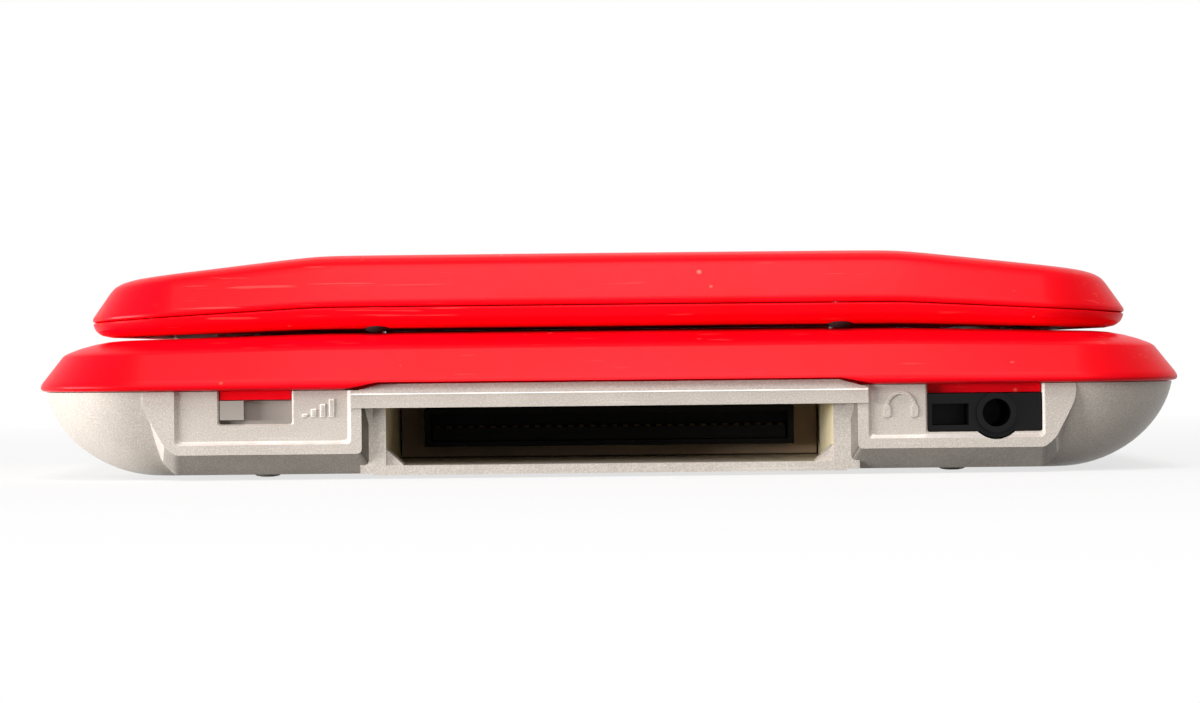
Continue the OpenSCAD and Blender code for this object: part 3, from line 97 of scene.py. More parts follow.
# underside: battery bay and its cover, screws and feet
BAY_X, BAY_HW, BAY_HD, BAY_TOP = -45.3, 13.3, 21.4, 8.1
COVER_W, COVER_D, COVER_Y, COVER_TOP, COVER_SCREW_Y = 28.5, 50, 1.7, 1.6, 24
SCREWS = [(-64.5, -18), (64.5, -18), (-64.5, 14), (64.5, 14), (-20.4, 28.6), (24, 31)]
POST_SCREWS = SCREWS[4:]  # the two in the flat floor; the others are in the bowl's curved ends
SCREW_HEAD_R, SCREW_HEAD_TOP, SCREW_R, SCREW_TOP = 2.3, 4.5, 1.2, 12
COVER_SCREW_R, COVER_SCREW_TOP = 1.05, 6
FEET = [(-45, -25.7), (45, -25.7), (-25, 23.5), (25, 23.5)]
FOOT_HOLE_R, FOOT_HOLE_TOP = 2.05, FOOT_H + 0.4
# controls: places of their middles, sizes, heights and the clearance round them
DPAD, ACTION, POWER = (-50, -1), (50, -1), (-50, 22)
DPAD_SPAN, DPAD_ARM, DPAD_GAP, DPAD_DISH_R = 19.6, 6.6, 0.35, 12
ACTION_D, ACTION_OFF, SMALL_D, POWER_SIZE = 7.2, 7.8, 4.4, (9.5, 4.9, 2.2)
BUTTON_TOP, SMALL_TOP, BUTTON_GAP = 18.95, 18.35, 0.25
KEYS = {key: (ACTION[0] + right * ACTION_OFF, ACTION[1] + back * ACTION_OFF)
        for key, right, back in (("a", 1, 0), ("b", 0, -1), ("x", 0, 1), ("y", -1, 0))}
SMALL_KEYS = {"start": (55.6, 22), "select": (44.4, 22)}
LIGHTS, LIGHT_R, MICROPHONE, MICROPHONE_R = [(55, -27), (59, -27)], 0.93, (-41, -24.5), 0.6
# screens, and the lid's inner face with its screws, hinge bore and speaker grilles
SCREEN_W, SCREEN_H, TOUCH_Y = 62.0, 46.5, -2.0
SCREEN_GAP, LENS_W, LENS_H, LENS_TOP = 0.3, 73.6, 54.6, 20.97
LID_FACE_W, LID_FACE_D, LID_FACE_Y, LID_FACE_Z = 124.4, 56.4, LID_MID - 0.5, 20
LID_SCREWS = [(-30, -32.75), (30, -32.75), (-46, 28.45), (46, 28.45)]
BORE_R, SPEAKER_X, GRILLE_PITCH, GRILLE_R = 3.12, 52, 2.6, 0.7


def wing_slope(z):
    """Slope of the wings outside the creases at height z."""
    if z <= SEAM_Z:
        return 0
    if z <= RIM_Z:
        return RIM_SLOPE * (z - SEAM_Z) / (RIM_Z - SEAM_Z)
    return RIM_SLOPE + ROOF_SLOPE_RISE * (z - RIM_Z)


def droop(x, z):
    """How far the wings outside the creases hang below height z."""
    past = abs(x) - CREASE_X
    return wing_slope(z) * (past + math.sqrt(past * past + CREASE_SOFT ** 2)) / 2


# ------------------------------------------------------------------ mesh helpers
def new_mesh(name, verts, faces):
    """Object from points in millimetres."""
    mesh = bpy.data.meshes.new(name)
    mesh.from_pydata([[c * MM for c in v] for v in verts], [], faces)
    mesh.update()
    obj = bpy.data.objects.new(name, mesh)
    bpy.context.scene.collection.objects.link(obj)
    return obj


def clean(obj, merge=1e-7):
    """Merges points that coincide and turns all faces outwards."""
    bm = bmesh.new()
    bm.from_mesh(obj.data)
    bmesh.ops.remove_doubles(bm, verts=bm.verts, dist=merge)
    bmesh.ops.dissolve_degenerate(bm, dist=merge, edges=bm.edges)
    bmesh.ops.recalc_face_normals(bm, faces=bm.faces)
    bm.to_mesh(obj.data)
    bm.free()
    return obj


def bake_modifiers(obj):
    """Turns what the modifiers show into the object's own mesh."""
    graph = bpy.context.evaluated_depsgraph_get()
    mesh = bpy.data.meshes.new_from_object(obj.evaluated_get(graph))
    obj.modifiers.clear()
    obj.data = mesh
    return obj


def combine(obj, tools, operation):
    """Applies a boolean with each tool in turn, and removes the tools."""
    for tool in tools:
        m = obj.modifiers.new("combine", "BOOLEAN")
        m.solver = "MANIFOLD"
        m.operation = operation
        m.object = tool
    bake_modifiers(obj)
    for tool in tools:
        bpy.data.objects.remove(tool)
    return obj


def cut(obj, *tools):
    return combine(obj, tools, "DIFFERENCE")


def join(obj, *tools):
    return combine(obj, tools, "UNION")


def keep(obj, *tools):
    return combine(obj, tools, "INTERSECT")


def smooth(obj, angle=32, bevel=0, segments=2, materials=()):
    """Smooth shading that keeps edges over an angle sharp, with a small bevel on those edges.

    materials become the object's own: the first is on its faces, and the second, if there is one, on
    the bevels.
    """
    obj.data.materials.clear()
    for mat in materials:
        obj.data.materials.append(mat)
    if bevel:
        m = obj.modifiers.new("edges", "BEVEL")
        m.width = bevel * MM
        m.segments = segments
        m.limit_method = "ANGLE"
        m.angle_limit = math.radians(angle)
        m.material = min(1, len(materials) - 1)
        bake_modifiers(obj)
    obj.data.polygons.foreach_set("use_smooth", [True] * len(obj.data.polygons))
    obj.data.set_sharp_from_angle(angle=math.radians(angle))
    w = obj.modifiers.new("normals", "WEIGHTED_NORMAL")
    w.keep_sharp = True
    w.weight = 90
    return obj


def box(low, high, name="box"):
    (a, b, c), (d, e, f) = low, high
    verts = [(a, b, c), (d, b, c), (d, e, c), (a, e, c), (a, b, f), (d, b, f), (d, e, f), (a, e, f)]
    faces = [(0, 3, 2, 1), (4, 5, 6, 7), (0, 1, 5, 4), (1, 2, 6, 5), (2, 3, 7, 6), (3, 0, 4, 7)]
    return new_mesh(name, verts, faces)


def ring_faces(a, b, n):
    """Faces between two rings of n points, whose first points have the numbers a and b."""
    return [(a + i, a + (i + 1) % n, b + (i + 1) % n, b + i) for i in range(n)]


# how a point (p, q) of an outline and its place h on an axis become a point in space
AXES = {
    "z": lambda p, h: (p[0], p[1], h),
    "y": lambda p, h: (p[0], h, p[1]),
    "x": lambda p, h: (h, p[0], p[1]),
}


def loft(outlines, axis="z", name="loft"):
    """Closed solid through outlines [(points, place on the axis)], all with as many points."""
    verts, faces = [], []
    for outline, place in outlines:
        verts += [AXES[axis](p, place) for p in outline]
    n = len(outlines[0][0])
    for k in range(len(outlines) - 1):
        faces += ring_faces(k * n, (k + 1) * n, n)
    top = (len(outlines) - 1) * n
    faces += [tuple(range(n))[::-1], tuple(range(top, top + n))]
    return clean(new_mesh(name, verts, faces))


def prism(outline, low, high, axis="z", name="prism"):
    return loft([(outline, low), (outline, high)], axis, name)


def arc(cx, cy, r, a0, a1, n):
    """Points of an arc from a0 to a1 degrees, in n steps."""
    turn = [math.radians(a0 + (a1 - a0) * i / n) for i in range(n + 1)]
    return [(cx + r * math.cos(a), cy + r * math.sin(a)) for a in turn]


def rounded_rect(w, d, r, cx=0, cy=0, n=6):
    hw, hd = w / 2, d / 2
    return (arc(cx + hw - r, cy - hd + r, r, -90, 0, n) + arc(cx + hw - r, cy + hd - r, r, 0, 90, n)
            + arc(cx - hw + r, cy + hd - r, r, 90, 180, n) + arc(cx - hw + r, cy - hd + r, r, 180, 270, n))


def soften(points, reach, steps=4, closed=False):
    """Replaces each corner of a line by a curve that starts a given reach before it."""
    n = len(points)
    out = []
    for i, p in enumerate(points):
        r = reach[i] if isinstance(reach, (list, tuple)) else reach
        if (not closed and i in (0, n - 1)) or r <= 0:
            out.append(tuple(p))
            continue
        p = Vector(p)
        a = Vector(points[i - 1]) - p
        b = Vector(points[(i + 1) % n]) - p
        start = p + a.normalized() * min(r, a.length * 0.48)
        end = p + b.normalized() * min(r, b.length * 0.48)
        for k in range(steps + 1):
            t = k / steps
            out.append(tuple(start * (1 - t) ** 2 + p * 2 * t * (1 - t) + end * t * t))
    return out


def lathe(profile, centre, axis="z", steps=48, name="lathe"):
    """Closed solid of revolution through (radius, height) points, whose ends are on the axis or joined."""
    verts, faces = [], []
    ring = len(profile)
    for k in range(steps):
        a = 2 * math.pi * k / steps
        c, s = math.cos(a), math.sin(a)
        for r, h in profile:
            p = {"z": (r * c, r * s, h), "x": (h, r * c, r * s), "y": (r * s, h, r * c)}[axis]
            verts.append([p[i] + centre[i] for i in range(3)])
    for k in range(steps):
        b = (k + 1) % steps
        for i in range(ring):
            j = (i + 1) % ring
            faces.append((k * ring + i, k * ring + j, b * ring + j, b * ring + i))
    return clean(new_mesh(name, verts, faces))


def rod(centre, r, low, high, axis="z", steps=40):
    """Cylinder whose ends are at low and high from the centre, along the axis."""
    return lathe([(0, low), (r, low), (r, high), (0, high)], centre, axis, steps, "rod")


def rods(places, r, low, high):
    """An upright cylinder at each place, between two heights."""
    return [rod((x, y, 0), r, low, high) for x, y in places]


def both(make):
    """The same tool on the right and, mirrored, on the left."""
    right = make()
    left = right.copy()
    left.data = right.data.copy()
    bpy.context.scene.collection.objects.link(left)
    mirror(left)
    return [right, left]


def mirror(obj):
    obj.data.transform(Matrix.Diagonal((-1, 1, 1, 1)))
    obj.data.flip_normals()


# ------------------------------------------------------------------ shell skins
CORNER_STEPS = 14
CREASE_OFFSETS = (-9, -5, -3, -1.5, 0, 1.5, 3, 5, 9)
MIDDLE_COLUMNS = [-14, 0, 14]
LEAST_R = 0.8


def columns(hw, hd, r):
    """Back half of a rounded rectangle from left to right, with points close together at the creases."""
    right = [(hw - r + r * math.sin(a), hd - r + r * math.cos(a))
             for a in (math.pi / 2 * k / CORNER_STEPS for k in range(CORNER_STEPS + 1))]
    straight = sorted([s * (CREASE_X + d) for s in (-1, 1) for d in CREASE_OFFSETS] + MIDDLE_COLUMNS)
    return [(-x, y) for x, y in right[::-1]] + [(x, hd) for x in straight] + right


def skin(levels, hw, hd, r, mid_y=0, name="skin"):
    """Closed solid through rounded rectangles, each level an (inset or insets, height)."""
    verts, faces = [], []
    for inset, z in levels:
        across, along = inset if isinstance(inset, tuple) else (inset, inset)
        cols = columns(hw - across, hd - along, max(r - (across + along) / 2, LEAST_R))
        ring = [(x, -y) for x, y in cols] + [(x, y) for x, y in cols[::-1]]
        verts += [(x, y + mid_y, z - droop(x, z)) for x, y in ring]
    n = len(ring)
    for k in range(len(levels) - 1):
        faces += ring_faces(k * n, (k + 1) * n, n)
    top = (len(levels) - 1) * n
    for i in range(n // 2 - 1):
        faces.append((i, n - 1 - i, n - 2 - i, i + 1))
        faces.append((top + i, top + i + 1, top + n - 2 - i, top + n - 1 - i))
    return clean(new_mesh(name, verts, faces))


def base_skin(levels):
    return skin(levels, BASE_HW, BASE_HD, BASE_R)


def lid_skin(levels):
    return skin(levels, LID_HW, LID_HD, LID_R, LID_MID)


def bowl_inset(z):
    """How far the bowl lies inside the outline at the ends, and at the front and back."""
    u = min(1, max(0, (SEAM_Z - z) / (SEAM_Z - FOOT_H)))
    turn = 1 - math.sqrt(1 - u * u)
    return tuple(inset + lean * u + bend * turn for inset, lean, bend in (BOWL_ENDS, BOWL_SIDES))


def bowl_levels():
    """Levels of the lower shell's outside, closer together towards its underside."""
    steps = 18
    return [(bowl_inset(z), z) for z in
            (SEAM_Z - (SEAM_Z - FOOT_H) * math.sin(math.pi / 2 * (1 - i / steps)) for i in range(steps + 1))]


def hollow_levels():
    """Levels of the lower shell's inside."""
    floor = FOOT_H + FLOOR_T
    steps = 7
    heights = [floor + (SEAM_Z - floor) * (i / steps) ** 1.6 for i in range(steps + 1)] + [SEAM_Z + 2]
    return [(tuple(i + WALL for i in bowl_inset(z - FLOOR_T)), z) for z in heights]


# ------------------------------------------------------------------ lower shell
def shoulder_room():
    """Cutters for the room that the shoulder buttons move in."""
    g = SHOULDER_GAP
    return both(lambda: box((SHOULDER_X - g, BACK - SHOULDER_D - SHOULDER_ROOM, SHOULDER_Z[0] - g),
                            (BASE_HW + OVER, BACK + OVER, SHOULDER_Z[1] + g)))


def pad_outline(g):
    """Outline of a pad, grown by g downwards and a little to its sides."""
    inner = PAD_X - min(g, PAD_SPREAD)
    outer = PAD_END + 0.1 * g
    return soften([(inner, SEAM_Z), (inner, PAD_LOW - g), (55.4 + 0.1 * g, PAD_LOW - g),
                   (56.8 + 0.2 * g, 4.4 - 0.8 * g), (outer, 9.4), (outer, SEAM_Z)],
                  [0, 0.7, 0.5, 0.9, 1.6, 0], closed=True)


def front_pad():
    """Flat pad beside the slot, with a slope from its edge back into the bowl."""
    grown = pad_outline(PAD_SLOPE)
    return loft([(pad_outline(0), PAD_Y), (grown, PAD_Y + PAD_SLOPE), (grown, FRONT + 7)], "y", "pad")


def window(x0, x1, low, r, rim):
    """Outline of an opening that runs up past the seam, and the same outline grown by its sloping rim."""
    def outline(g):
        return soften([(x0 - g, CUT_TOP), (x0 - g, low - g), (x1 + g, low - g), (x1 + g, CUT_TOP)],
                      [0, r, r, 0], closed=True)
    return outline(0), outline(rim)


def panel_cutter():
    """Cutter for the shallow panel in a pad."""
    inner, outer = window(*PANEL_X, PANEL_Z, 0.6, 0.45)
    return loft([(outer, FRONT - OVER), (outer, PAD_Y), (inner, PANEL_Y)], "y")


def notch_cutter(x0, x1, low, front, back):
    """Cutter for an opening in a panel, with a small slope round its front edge."""
    inner, outer = window(x0, x1, low, 0.35, 0.22)
    return loft([(outer, FRONT - OVER), (outer, front), (inner, front + 0.25), (inner, back)], "y")


def beam_section(top):
    """Section of the beam over the slot, with a fine crease along its face, which tint_front paints with a
    highlight.
    """
    low, high = BEAM_CREASE
    return [(BEAM_Y, SLOT_ROOF), (BEAM_Y, low), (BEAM_Y + 0.04, high), (BEAM_Y + 0.4 * (top - high), top),
            (BEAM_BACK, top), (BEAM_BACK, SLOT_ROOF)]


def front_beam():
    """Beam over the slot: high in the middle, and lower towards its ends."""
    end_x, end_top = BEAM_ENDS
    middle_x, middle_top = BEAM_MIDDLE
    ends, middle = beam_section(end_top), beam_section(middle_top)
    return loft([(ends, -end_x), (middle, -middle_x), (middle, middle_x), (ends, end_x)], "x", "beam")


def front_openings():
    """Cutters for the slot, the panels, the volume control and the headphone jack."""
    volume_end = VOLUME_X + VOLUME_W
    return [
        box((-SLOT_HW, FRONT - OVER, SLOT_FLOOR), (SLOT_HW, SLOT_END + OVER, SLOT_ROOF)),
        box((-TUNNEL_HW - FIT, GUIDE_Y, SLOT_FLOOR), (TUNNEL_HW + FIT, SLOT_END + OVER, TUNNEL_TOP + FIT)),
        *both(panel_cutter),
        notch_cutter(VOLUME_X, volume_end, VOLUME_Z, PANEL_Y, APRON_Y + 1),
        box((VOLUME_X - 7, APRON_Y - FIT, VOLUME_Z - 0.5), (volume_end + 7, APRON_Y + 4, CUT_TOP)),
        notch_cutter(JACK_X0, JACK_X1, JACK_LOW, PANEL_Y, FRONT + JACK_DEPTH),
        rod((JACK_X, 0, JACK_Z), JACK_RING_R, FRONT - OVER, FRONT + JACK_DEPTH, "y")]


def back_openings():
    """Cutters for the game card, the power inlet, the stylus, the strap and the shoulder buttons."""
    room = CAGE_ROOM
    return [
        box((-CARD_HW, BACK - 8, CARD_LOW), (CARD_HW, BACK + OVER, CARD_HIGH)),
        box((-CARD_HW - room, BACK - 12, CARD_LOW - room), (CARD_HW + room, BACK - 2.9, CARD_HIGH + room)),
        box((INLET_X - INLET_ROOM, BACK - 12, 4.5), (INLET_X + INLET_ROOM, BACK - 2.1, CUT_TOP)),
        prism(rounded_rect(*INLET_SIZE, INLET_X, INLET_Z), BACK - 8, BACK + OVER, "y"),
        rod((STYLUS_X, 0, STYLUS_Z), STYLUS_R + 0.15, STYLUS_END, BACK + OVER, "y"),
        prism(rounded_rect(*STRAP_NICHE, STRAP_X, STRAP_Z), BACK - 5.4, BACK + OVER, "y"),
        *shoulder_room()]


def under_openings():
    """Cutters for the battery bay and its cover, the screws and the feet."""
    cover = rounded_rect(COVER_W + 2 * FIT, COVER_D + 2 * FIT, 2.5, BAY_X, COVER_Y)
    return [
        box((BAY_X - BAY_HW, -BAY_HD, 0), (BAY_X + BAY_HW, BAY_HD, BAY_TOP)),
        prism(cover, 0, COVER_TOP),
        rod((BAY_X, COVER_SCREW_Y, 0), COVER_SCREW_R, 0, COVER_SCREW_TOP),
        *rods(SCREWS, SCREW_HEAD_R, 0, SCREW_HEAD_TOP),
        *rods(SCREWS, SCREW_R, 0, SCREW_TOP),
        *rods(FEET, FOOT_HOLE_R, 0, FOOT_HOLE_TOP)]


def slot_ramp():
    """Small ramp in a lower corner of the slot's mouth."""
    outer, inner, low = SLOT_HW + 0.05, SLOT_HW - 2.2, SLOT_FLOOR - 0.3
    outline = [(outer, low), (inner, low), (inner, SLOT_FLOOR + 0.05), (outer, SLOT_FLOOR + 2.1)]
    return prism(outline, MOUTH_Y + 0.6, MOUTH_Y + 5.5, "y")


EDGE, DIM, LOW = 1, 2, 3  # places of the painted highlight, the painted shade beside the slot and the painted shade under the pads among the shell's materials


def tint_front(shell):
    """Paints a highlight on the beam's crease and the panels' lower ledges, and paints shade on the sides of
    the slot's grooves and on the slopes under the pads.
    """
    for face in shell.data.polygons:
        x, y, z = face.center / MM
        right, back, up = face.normal
        crease = y < BEAM_Y + 0.06 and BEAM_CREASE[0] < z < BEAM_CREASE[1]
        ledge = PANEL_X[0] < abs(x) < PANEL_X[1] - 0.6 and PAD_Y < y < PANEL_Y and z < PANEL_Z
        beside_slot = TUNNEL_HW - 0.1 < abs(x) < PAD_X + 0.1 and y < MOUTH_Y + 0.02 and z < SLOT_ROOF
        under_pad = PAD_X - 0.6 < abs(x) < PAD_END + 0.6 and z < PAD_LOW
        slope = PAD_Y + 0.1 < y < PAD_Y + PAD_SLOPE and back < -0.3 and up < -0.3
        # painted highlight on the beam's crease and the panels' lower ledges
        if crease or ledge:
            face.material_index = EDGE
        # painted shade on the sides of the slot's grooves, and on the slopes under the pads
        if beside_slot and abs(right) > 0.5:
            face.material_index = DIM
        elif under_pad and slope:
            face.material_index = LOW


def make_bottom_shell():
    """Bowl with its pads and beam at the front, and all of its openings."""
    shell = base_skin(bowl_levels())
    shell.name = "lower_shell"
    block = prism([(-51.3, SEAM_Z), (-51.3, 4.4), (-47.8, 2.4), (47.8, 2.4), (51.3, 4.4), (51.3, SEAM_Z)],
                  30.35, BACK - WALL, "y")
    sill = box((-TUNNEL_HW - FIT, MOUTH_Y, FOOT_H), (TUNNEL_HW + FIT, FRONT + 12, SLOT_FLOOR))
    join(shell, *both(front_pad), block, sill)
    cut(shell, base_skin(hollow_levels()),
        box((-TUNNEL_HW, FRONT - OVER, 0), (TUNNEL_HW, MOUTH_Y, CUT_TOP)))
    beam = front_beam()
    posts = rods(POST_SCREWS, 2.9, FOOT_H + 0.3, 5.6)
    strap_wall = box((STRAP_X - 4.1, BACK - 6.4, 3.4), (STRAP_X + 4.1, BACK - 2, 10.2))
    seats = both(lambda: rod((*PIN, 0), 3.6, 4.4, 6.45))
    jambs = both(lambda: box((SLOT_HW - 0.1, MOUTH_Y, FOOT_H + 0.2), (31.9, GUIDE_Y + 0.2, SLOT_ROOF + 0.6)))
    join(shell, beam, *posts, strap_wall, *seats, *jambs)
    cut(shell, *front_openings(), *back_openings(), *under_openings())
    for x in (PIN[0], -PIN[0]):
        cut(shell, rod((x, PIN[1], 0), 2.9, 4.85, 9.8))
    join(shell, *both(slot_ramp))
    # the bevels take the painted highlight; tint_front then paints highlight and shade on chosen faces
    smooth(shell, 30, bevel=0.16, materials=(SILVER, SILVER_PAINTED_HIGHLIGHT, SILVER_PAINTED_SHADE, SILVER_PAINTED_SHADE_LOW))
    tint_front(shell)
    return shell


def make_marks():
    """Raised marks beside the two notches: four rising bars, and a plain pair of earphones on a band."""
    low, high = PANEL_Y - 0.2, PANEL_Y + 0.2
    pitch, foot = 1.15, 8.0
    bars = [box((-39.2 + pitch * i, low, foot), (-38.5 + pitch * i, high, 8.45 + 0.62 * i)) for i in range(4)]
    cx, cz, r, w = 37.1, 8.6, 1.75, 0.17
    band = prism(arc(cx, cz, r + w, 0, 180, 16) + arc(cx, cz, r - w, 180, 0, 16), low, high, "y")
    cups = [prism(rounded_rect(0.85, 1.5, 0.3, cx + side * r, cz - 0.6), low, high, "y") for side in (-1, 1)]
    return [join(bars[0], *bars[1:]), join(band, *cups)]


def make_guide():
    """Tunnel that leads the cartridge to its connector."""
    guide = box((-TUNNEL_HW, GUIDE_Y + 0.05, SLOT_FLOOR), (TUNNEL_HW, SLOT_END, TUNNEL_TOP), "guide")
    cut(guide, box((-SLOT_HW, FRONT, SLOT_FLOOR - OVER), (SLOT_HW, 0, SLOT_ROOF)))
    return smooth(guide, 30, bevel=0.1, materials=(GUIDE,))


def make_connector():
    """Cartridge connector: a long socket with a tongue, on a plate that closes the slot's back."""
    low, high, front, back = SLOT_FLOOR + FIT, SLOT_ROOF - FIT, CONNECTOR_Y, SLOT_END - 0.6
    seam, half = back - 2.6, CONNECTOR_HW - 0.8
    mouth_low, mouth_high = SOCKET_Z
    plate = box((-SLOT_HW + 0.2, seam, low), (SLOT_HW - 0.2, back, high), "connector_plate")
    socket = box((-CONNECTOR_HW, front, CONNECTOR_LOW), (CONNECTOR_HW, seam, high - 0.5), "connector")
    cut(socket, box((-half, front - OVER, mouth_low), (half, front + 4.9, mouth_high)))
    ribs = [box((x - 0.4, front + 0.3, mouth_high - 0.1), (x + 0.4, front + 5, high - 0.6)) for x in RIBS_X]
    join(socket, box((-23.9, front + 1, 4.1), (23.9, back - 2.7, 5.8)), *ribs)
    return (smooth(plate, 30, bevel=0.15, materials=(SOCKET_PLATE,)),
            smooth(socket, 30, bevel=0.15, materials=(SOCKET,)))


def make_feet():
    """Four small domes under the base, and four thin ones over the lid's screws."""
    steps, pad_top = 32, 19.8
    foot = [(0, 0), (0.8, 0), (1.4, 0.1), (1.8, 0.3), (1.95, 0.55), (1.95, 0.85), (0, 0.85)]
    feet = [lathe(foot, (x, y, 0), "z", steps, "foot") for x, y in FEET]
    pads = []
    for x, y in LID_SCREWS:
        low = RIM_Z - droop(x, RIM_Z) + 0.08
        pad = [(0, low), (0.5, low), (1.1, low + 0.16), (1.6, low + 0.4), (1.9, low + 0.7),
               (1.9, pad_top), (0, pad_top)]
        pads.append(lathe(pad, (x, y, 0), "z", steps, "lid_pad"))
    return smooth(join(*feet), 50, materials=(FOOT,)), smooth(join(*pads), 50)


# ------------------------------------------------------------------ upper base shell
def control_holes(low, high):
    """Cutters for the holes of the keys, the pad, the lights and the microphone."""
    span, arm = DPAD_SPAN + 2 * DPAD_GAP, DPAD_ARM + 2 * DPAD_GAP
    return [
        *rods(KEYS.values(), ACTION_D / 2 + BUTTON_GAP, low, high),
        *rods(SMALL_KEYS.values(), SMALL_D / 2 + BUTTON_GAP, low, high),
        *[prism(rounded_rect(w, d, 0.8, *DPAD), low, high) for w, d in ((span, arm), (arm, span))],
        prism(rounded_rect(*POWER_SIZE, *POWER), low, high),
        *rods(LIGHTS, LIGHT_R, low, high),
        rod((*MICROPHONE, 0), MICROPHONE_R, low, high)]


def make_top_shell():
    """Rim and control face of the base, with the hinge's ears, and the tabs over the front notches."""
    outside = soften([(0.9, 11.5), (0.25, 11.6), (0, 11.9), (0, 12.25), (0.2, 12.75), (3.0, 16.75),
                      (3.7, 17.15), (5.2, 17.75), (7.0, 18.25), (9.0, 18.6), (10.6, RIM_Z)], 0.3, 3)
    shell = base_skin(outside)
    shell.name = "upper_shell"
    cut(shell, base_skin([(4.0, 10.4), (4.0, 12.0), (5.8, FACE_UNDER)]),
        prism(rounded_rect(FACE_W + 2, FACE_D + 2, 5, 0, FACE_Y), 11, FACE_UNDER))
    ear_end = EAR_X + EAR_L
    ear = soften([(0, EAR_X), (BARREL_R, EAR_X), (BARREL_R, ear_end), (0, ear_end)], [0, 0.25, 0.5, 0])
    ears = both(lambda: lathe(ear, (0, HINGE_Y, HINGE_Z), "x", 64))
    leg = [(33.6, 16), (38, 14.2), (41.88, 13), (41.9, HINGE_Z), (33.3, HINGE_Z)]
    legs = both(lambda: prism(leg, EAR_X + 0.02, EAR_X + EAR_L - 0.3, "x"))
    tabs = [box((x0 + FIT, y, 10.3), (x1 - FIT, -37.6, 12)) for x0, x1, y in
            ((VOLUME_X, VOLUME_X + VOLUME_W, -40.15), (JACK_X0, JACK_X1, -39.1))]
    pins = both(lambda: rod((*PIN, 0), 2, 15.55, 16.6))
    join(shell, *ears, *legs, *tabs, *pins)
    inside, gap = FACE_UNDER - OVER, SCREEN_GAP
    beam_room = [(-33.9, 9.3), (33.9, 9.3), (33.9, 11.5), (29.5, 12.4), (-29.5, 12.4), (-33.9, 11.5)]
    cut(shell,
        prism(beam_room, FRONT - OVER, BEAM_BACK + FIT, "y"),
        prism(rounded_rect(FACE_W, FACE_D, 6, 0, FACE_Y, 10), FACE_Z, OVER_BASE),
        *control_holes(inside, RIM_Z),
        rod((*DPAD, 0), DPAD_DISH_R, FACE_Z - 0.4, OVER_BASE, steps=72),
        prism(rounded_rect(SCREEN_W + 2 * gap, SCREEN_H + 2 * gap, 1.2, 0, TOUCH_Y), inside, 19),
        prism(rounded_rect(SCREEN_W + 10.6, SCREEN_H + 8.6, 1, 0, TOUCH_Y), inside, FACE_UNDER + 0.25),
        rod((0, HINGE_Y, HINGE_Z), BARREL_R + 0.5, -EAR_X, EAR_X, "x", 64),
        *shoulder_room())
    return smooth(shell, 30, bevel=0.12)


# ------------------------------------------------------------------ lid
def make_lid_cover():
    """Outer shell of the lid, open at its back for the hinge's barrel."""
    outside = soften([(0.25, 22.12), (0, 22.3), (0, 22.8), (0.2, 23.2), (2.35, 27.1), (2.9, 27.85),
                      (3.9, 28.45), (5.4, 28.8), (7.4, 28.9)], [0, 0.12, 0.2, 0.25, 0.5, 0.4, 0.4, 0.5, 0], 3)
    lid = lid_skin(outside)
    lid.name = "lid_shell"
    cut(lid, lid_skin([(1.4, 21.1), (1.6, 22.9), (3.8, 26.3), (5.0, 27.6)]),
        box((-BARREL_HALF - FIT, LID_BACK - 3.1, LID_Z), (BARREL_HALF + FIT, LID_BACK + OVER, 26.5)))
    return smooth(lid, 30, bevel=0.1)


def make_lid_bezel():
    """Inner shell of the lid, with the barrel, the screws' posts and holes, and the speaker grilles."""
    outside = soften([(2.6, LID_Z), (1.2, 19.75), (0.45, 20.5), (0.15, 21.3), (0.05, 21.85), (0.3, 22.02)],
                     [0, 0.3, 0.3, 0.3, 0.1, 0], 3)
    lid = lid_skin(outside)
    lid.name = "lid_inner_shell"
    cut(lid, lid_skin([(2.8, 21.3), (1.6, 23)]))
    posts = rods(LID_SCREWS, 2.6, 21, 22.02)
    web = box((-BARREL_HALF + 0.3, LID_BACK - 3, 20.6), (BARREL_HALF - 0.3, HINGE_Y, 26.4))
    half = BARREL_HALF
    tube = soften([(0, -half), (BARREL_R, -half), (BARREL_R, half), (0, half)], [0, 0.3, 0.3, 0])
    barrel = lathe(tube, (0, HINGE_Y, HINGE_Z), "x", 64)
    lips = both(lambda: keep(lid_skin([(2.7, 19.02), (2.7, 20)]), box((34, 28.6, 17), (60, LID_BACK, 21))))
    join(lid, *posts, web, barrel, *lips)
    pitch, rows = GRILLE_PITCH, range(-2, 3)
    grille = [rod((side * SPEAKER_X + i * pitch, LID_MID + j * pitch, 0), GRILLE_R, 19, 22, steps=16)
              for side in (-1, 1) for i in rows for j in rows if abs(i) + abs(j) <= 3]
    cut(lid, prism(rounded_rect(LID_FACE_W, LID_FACE_D, 6, 0, LID_FACE_Y, 10), UNDER_LID, LID_FACE_Z),
        prism(rounded_rect(LENS_W + 2 * FIT, LENS_H + 2 * FIT, 3, 0, LID_MID), 19, LENS_TOP),
        prism(rounded_rect(SCREEN_W + 4, SCREEN_H + 4, 1.5, 0, LID_MID), 19, 24),
        *rods(LID_SCREWS, 1.95, UNDER_LID, 20.5),
        *rods(LID_SCREWS, 1.1, UNDER_LID, 23),
        rod((0, HINGE_Y, HINGE_Z), BORE_R, -half - OVER, half + OVER, "x", 48),
        box((-28.4, 24.4, 22.4), (-22.4, HINGE_Y, 23.8)), *grille)
    return smooth(lid, 30, bevel=0.1)


# ------------------------------------------------------------------ buttons
def make_button(name, x, y, d, top):
    """Round key with a flange under the control face and a softly rounded edge."""
    r = d / 2
    stem_low, flange_low, flange_top = 13.3, 15.1, 15.9
    profile = [(0, stem_low), (r - 0.6, stem_low), (r - 0.6, flange_low), (r + 0.9, flange_low),
               (r + 0.9, flange_top), (r, flange_top)]
    profile += soften([(r, flange_top), (r, top - 0.12), (r * 0.8, top), (0, top)], [0, 0.5, 0.6, 0], 4)[1:]
    knob = smooth(lathe(profile, (x, y, 0), "z", 56, "button"), 40)
    knob.name = name
    return knob


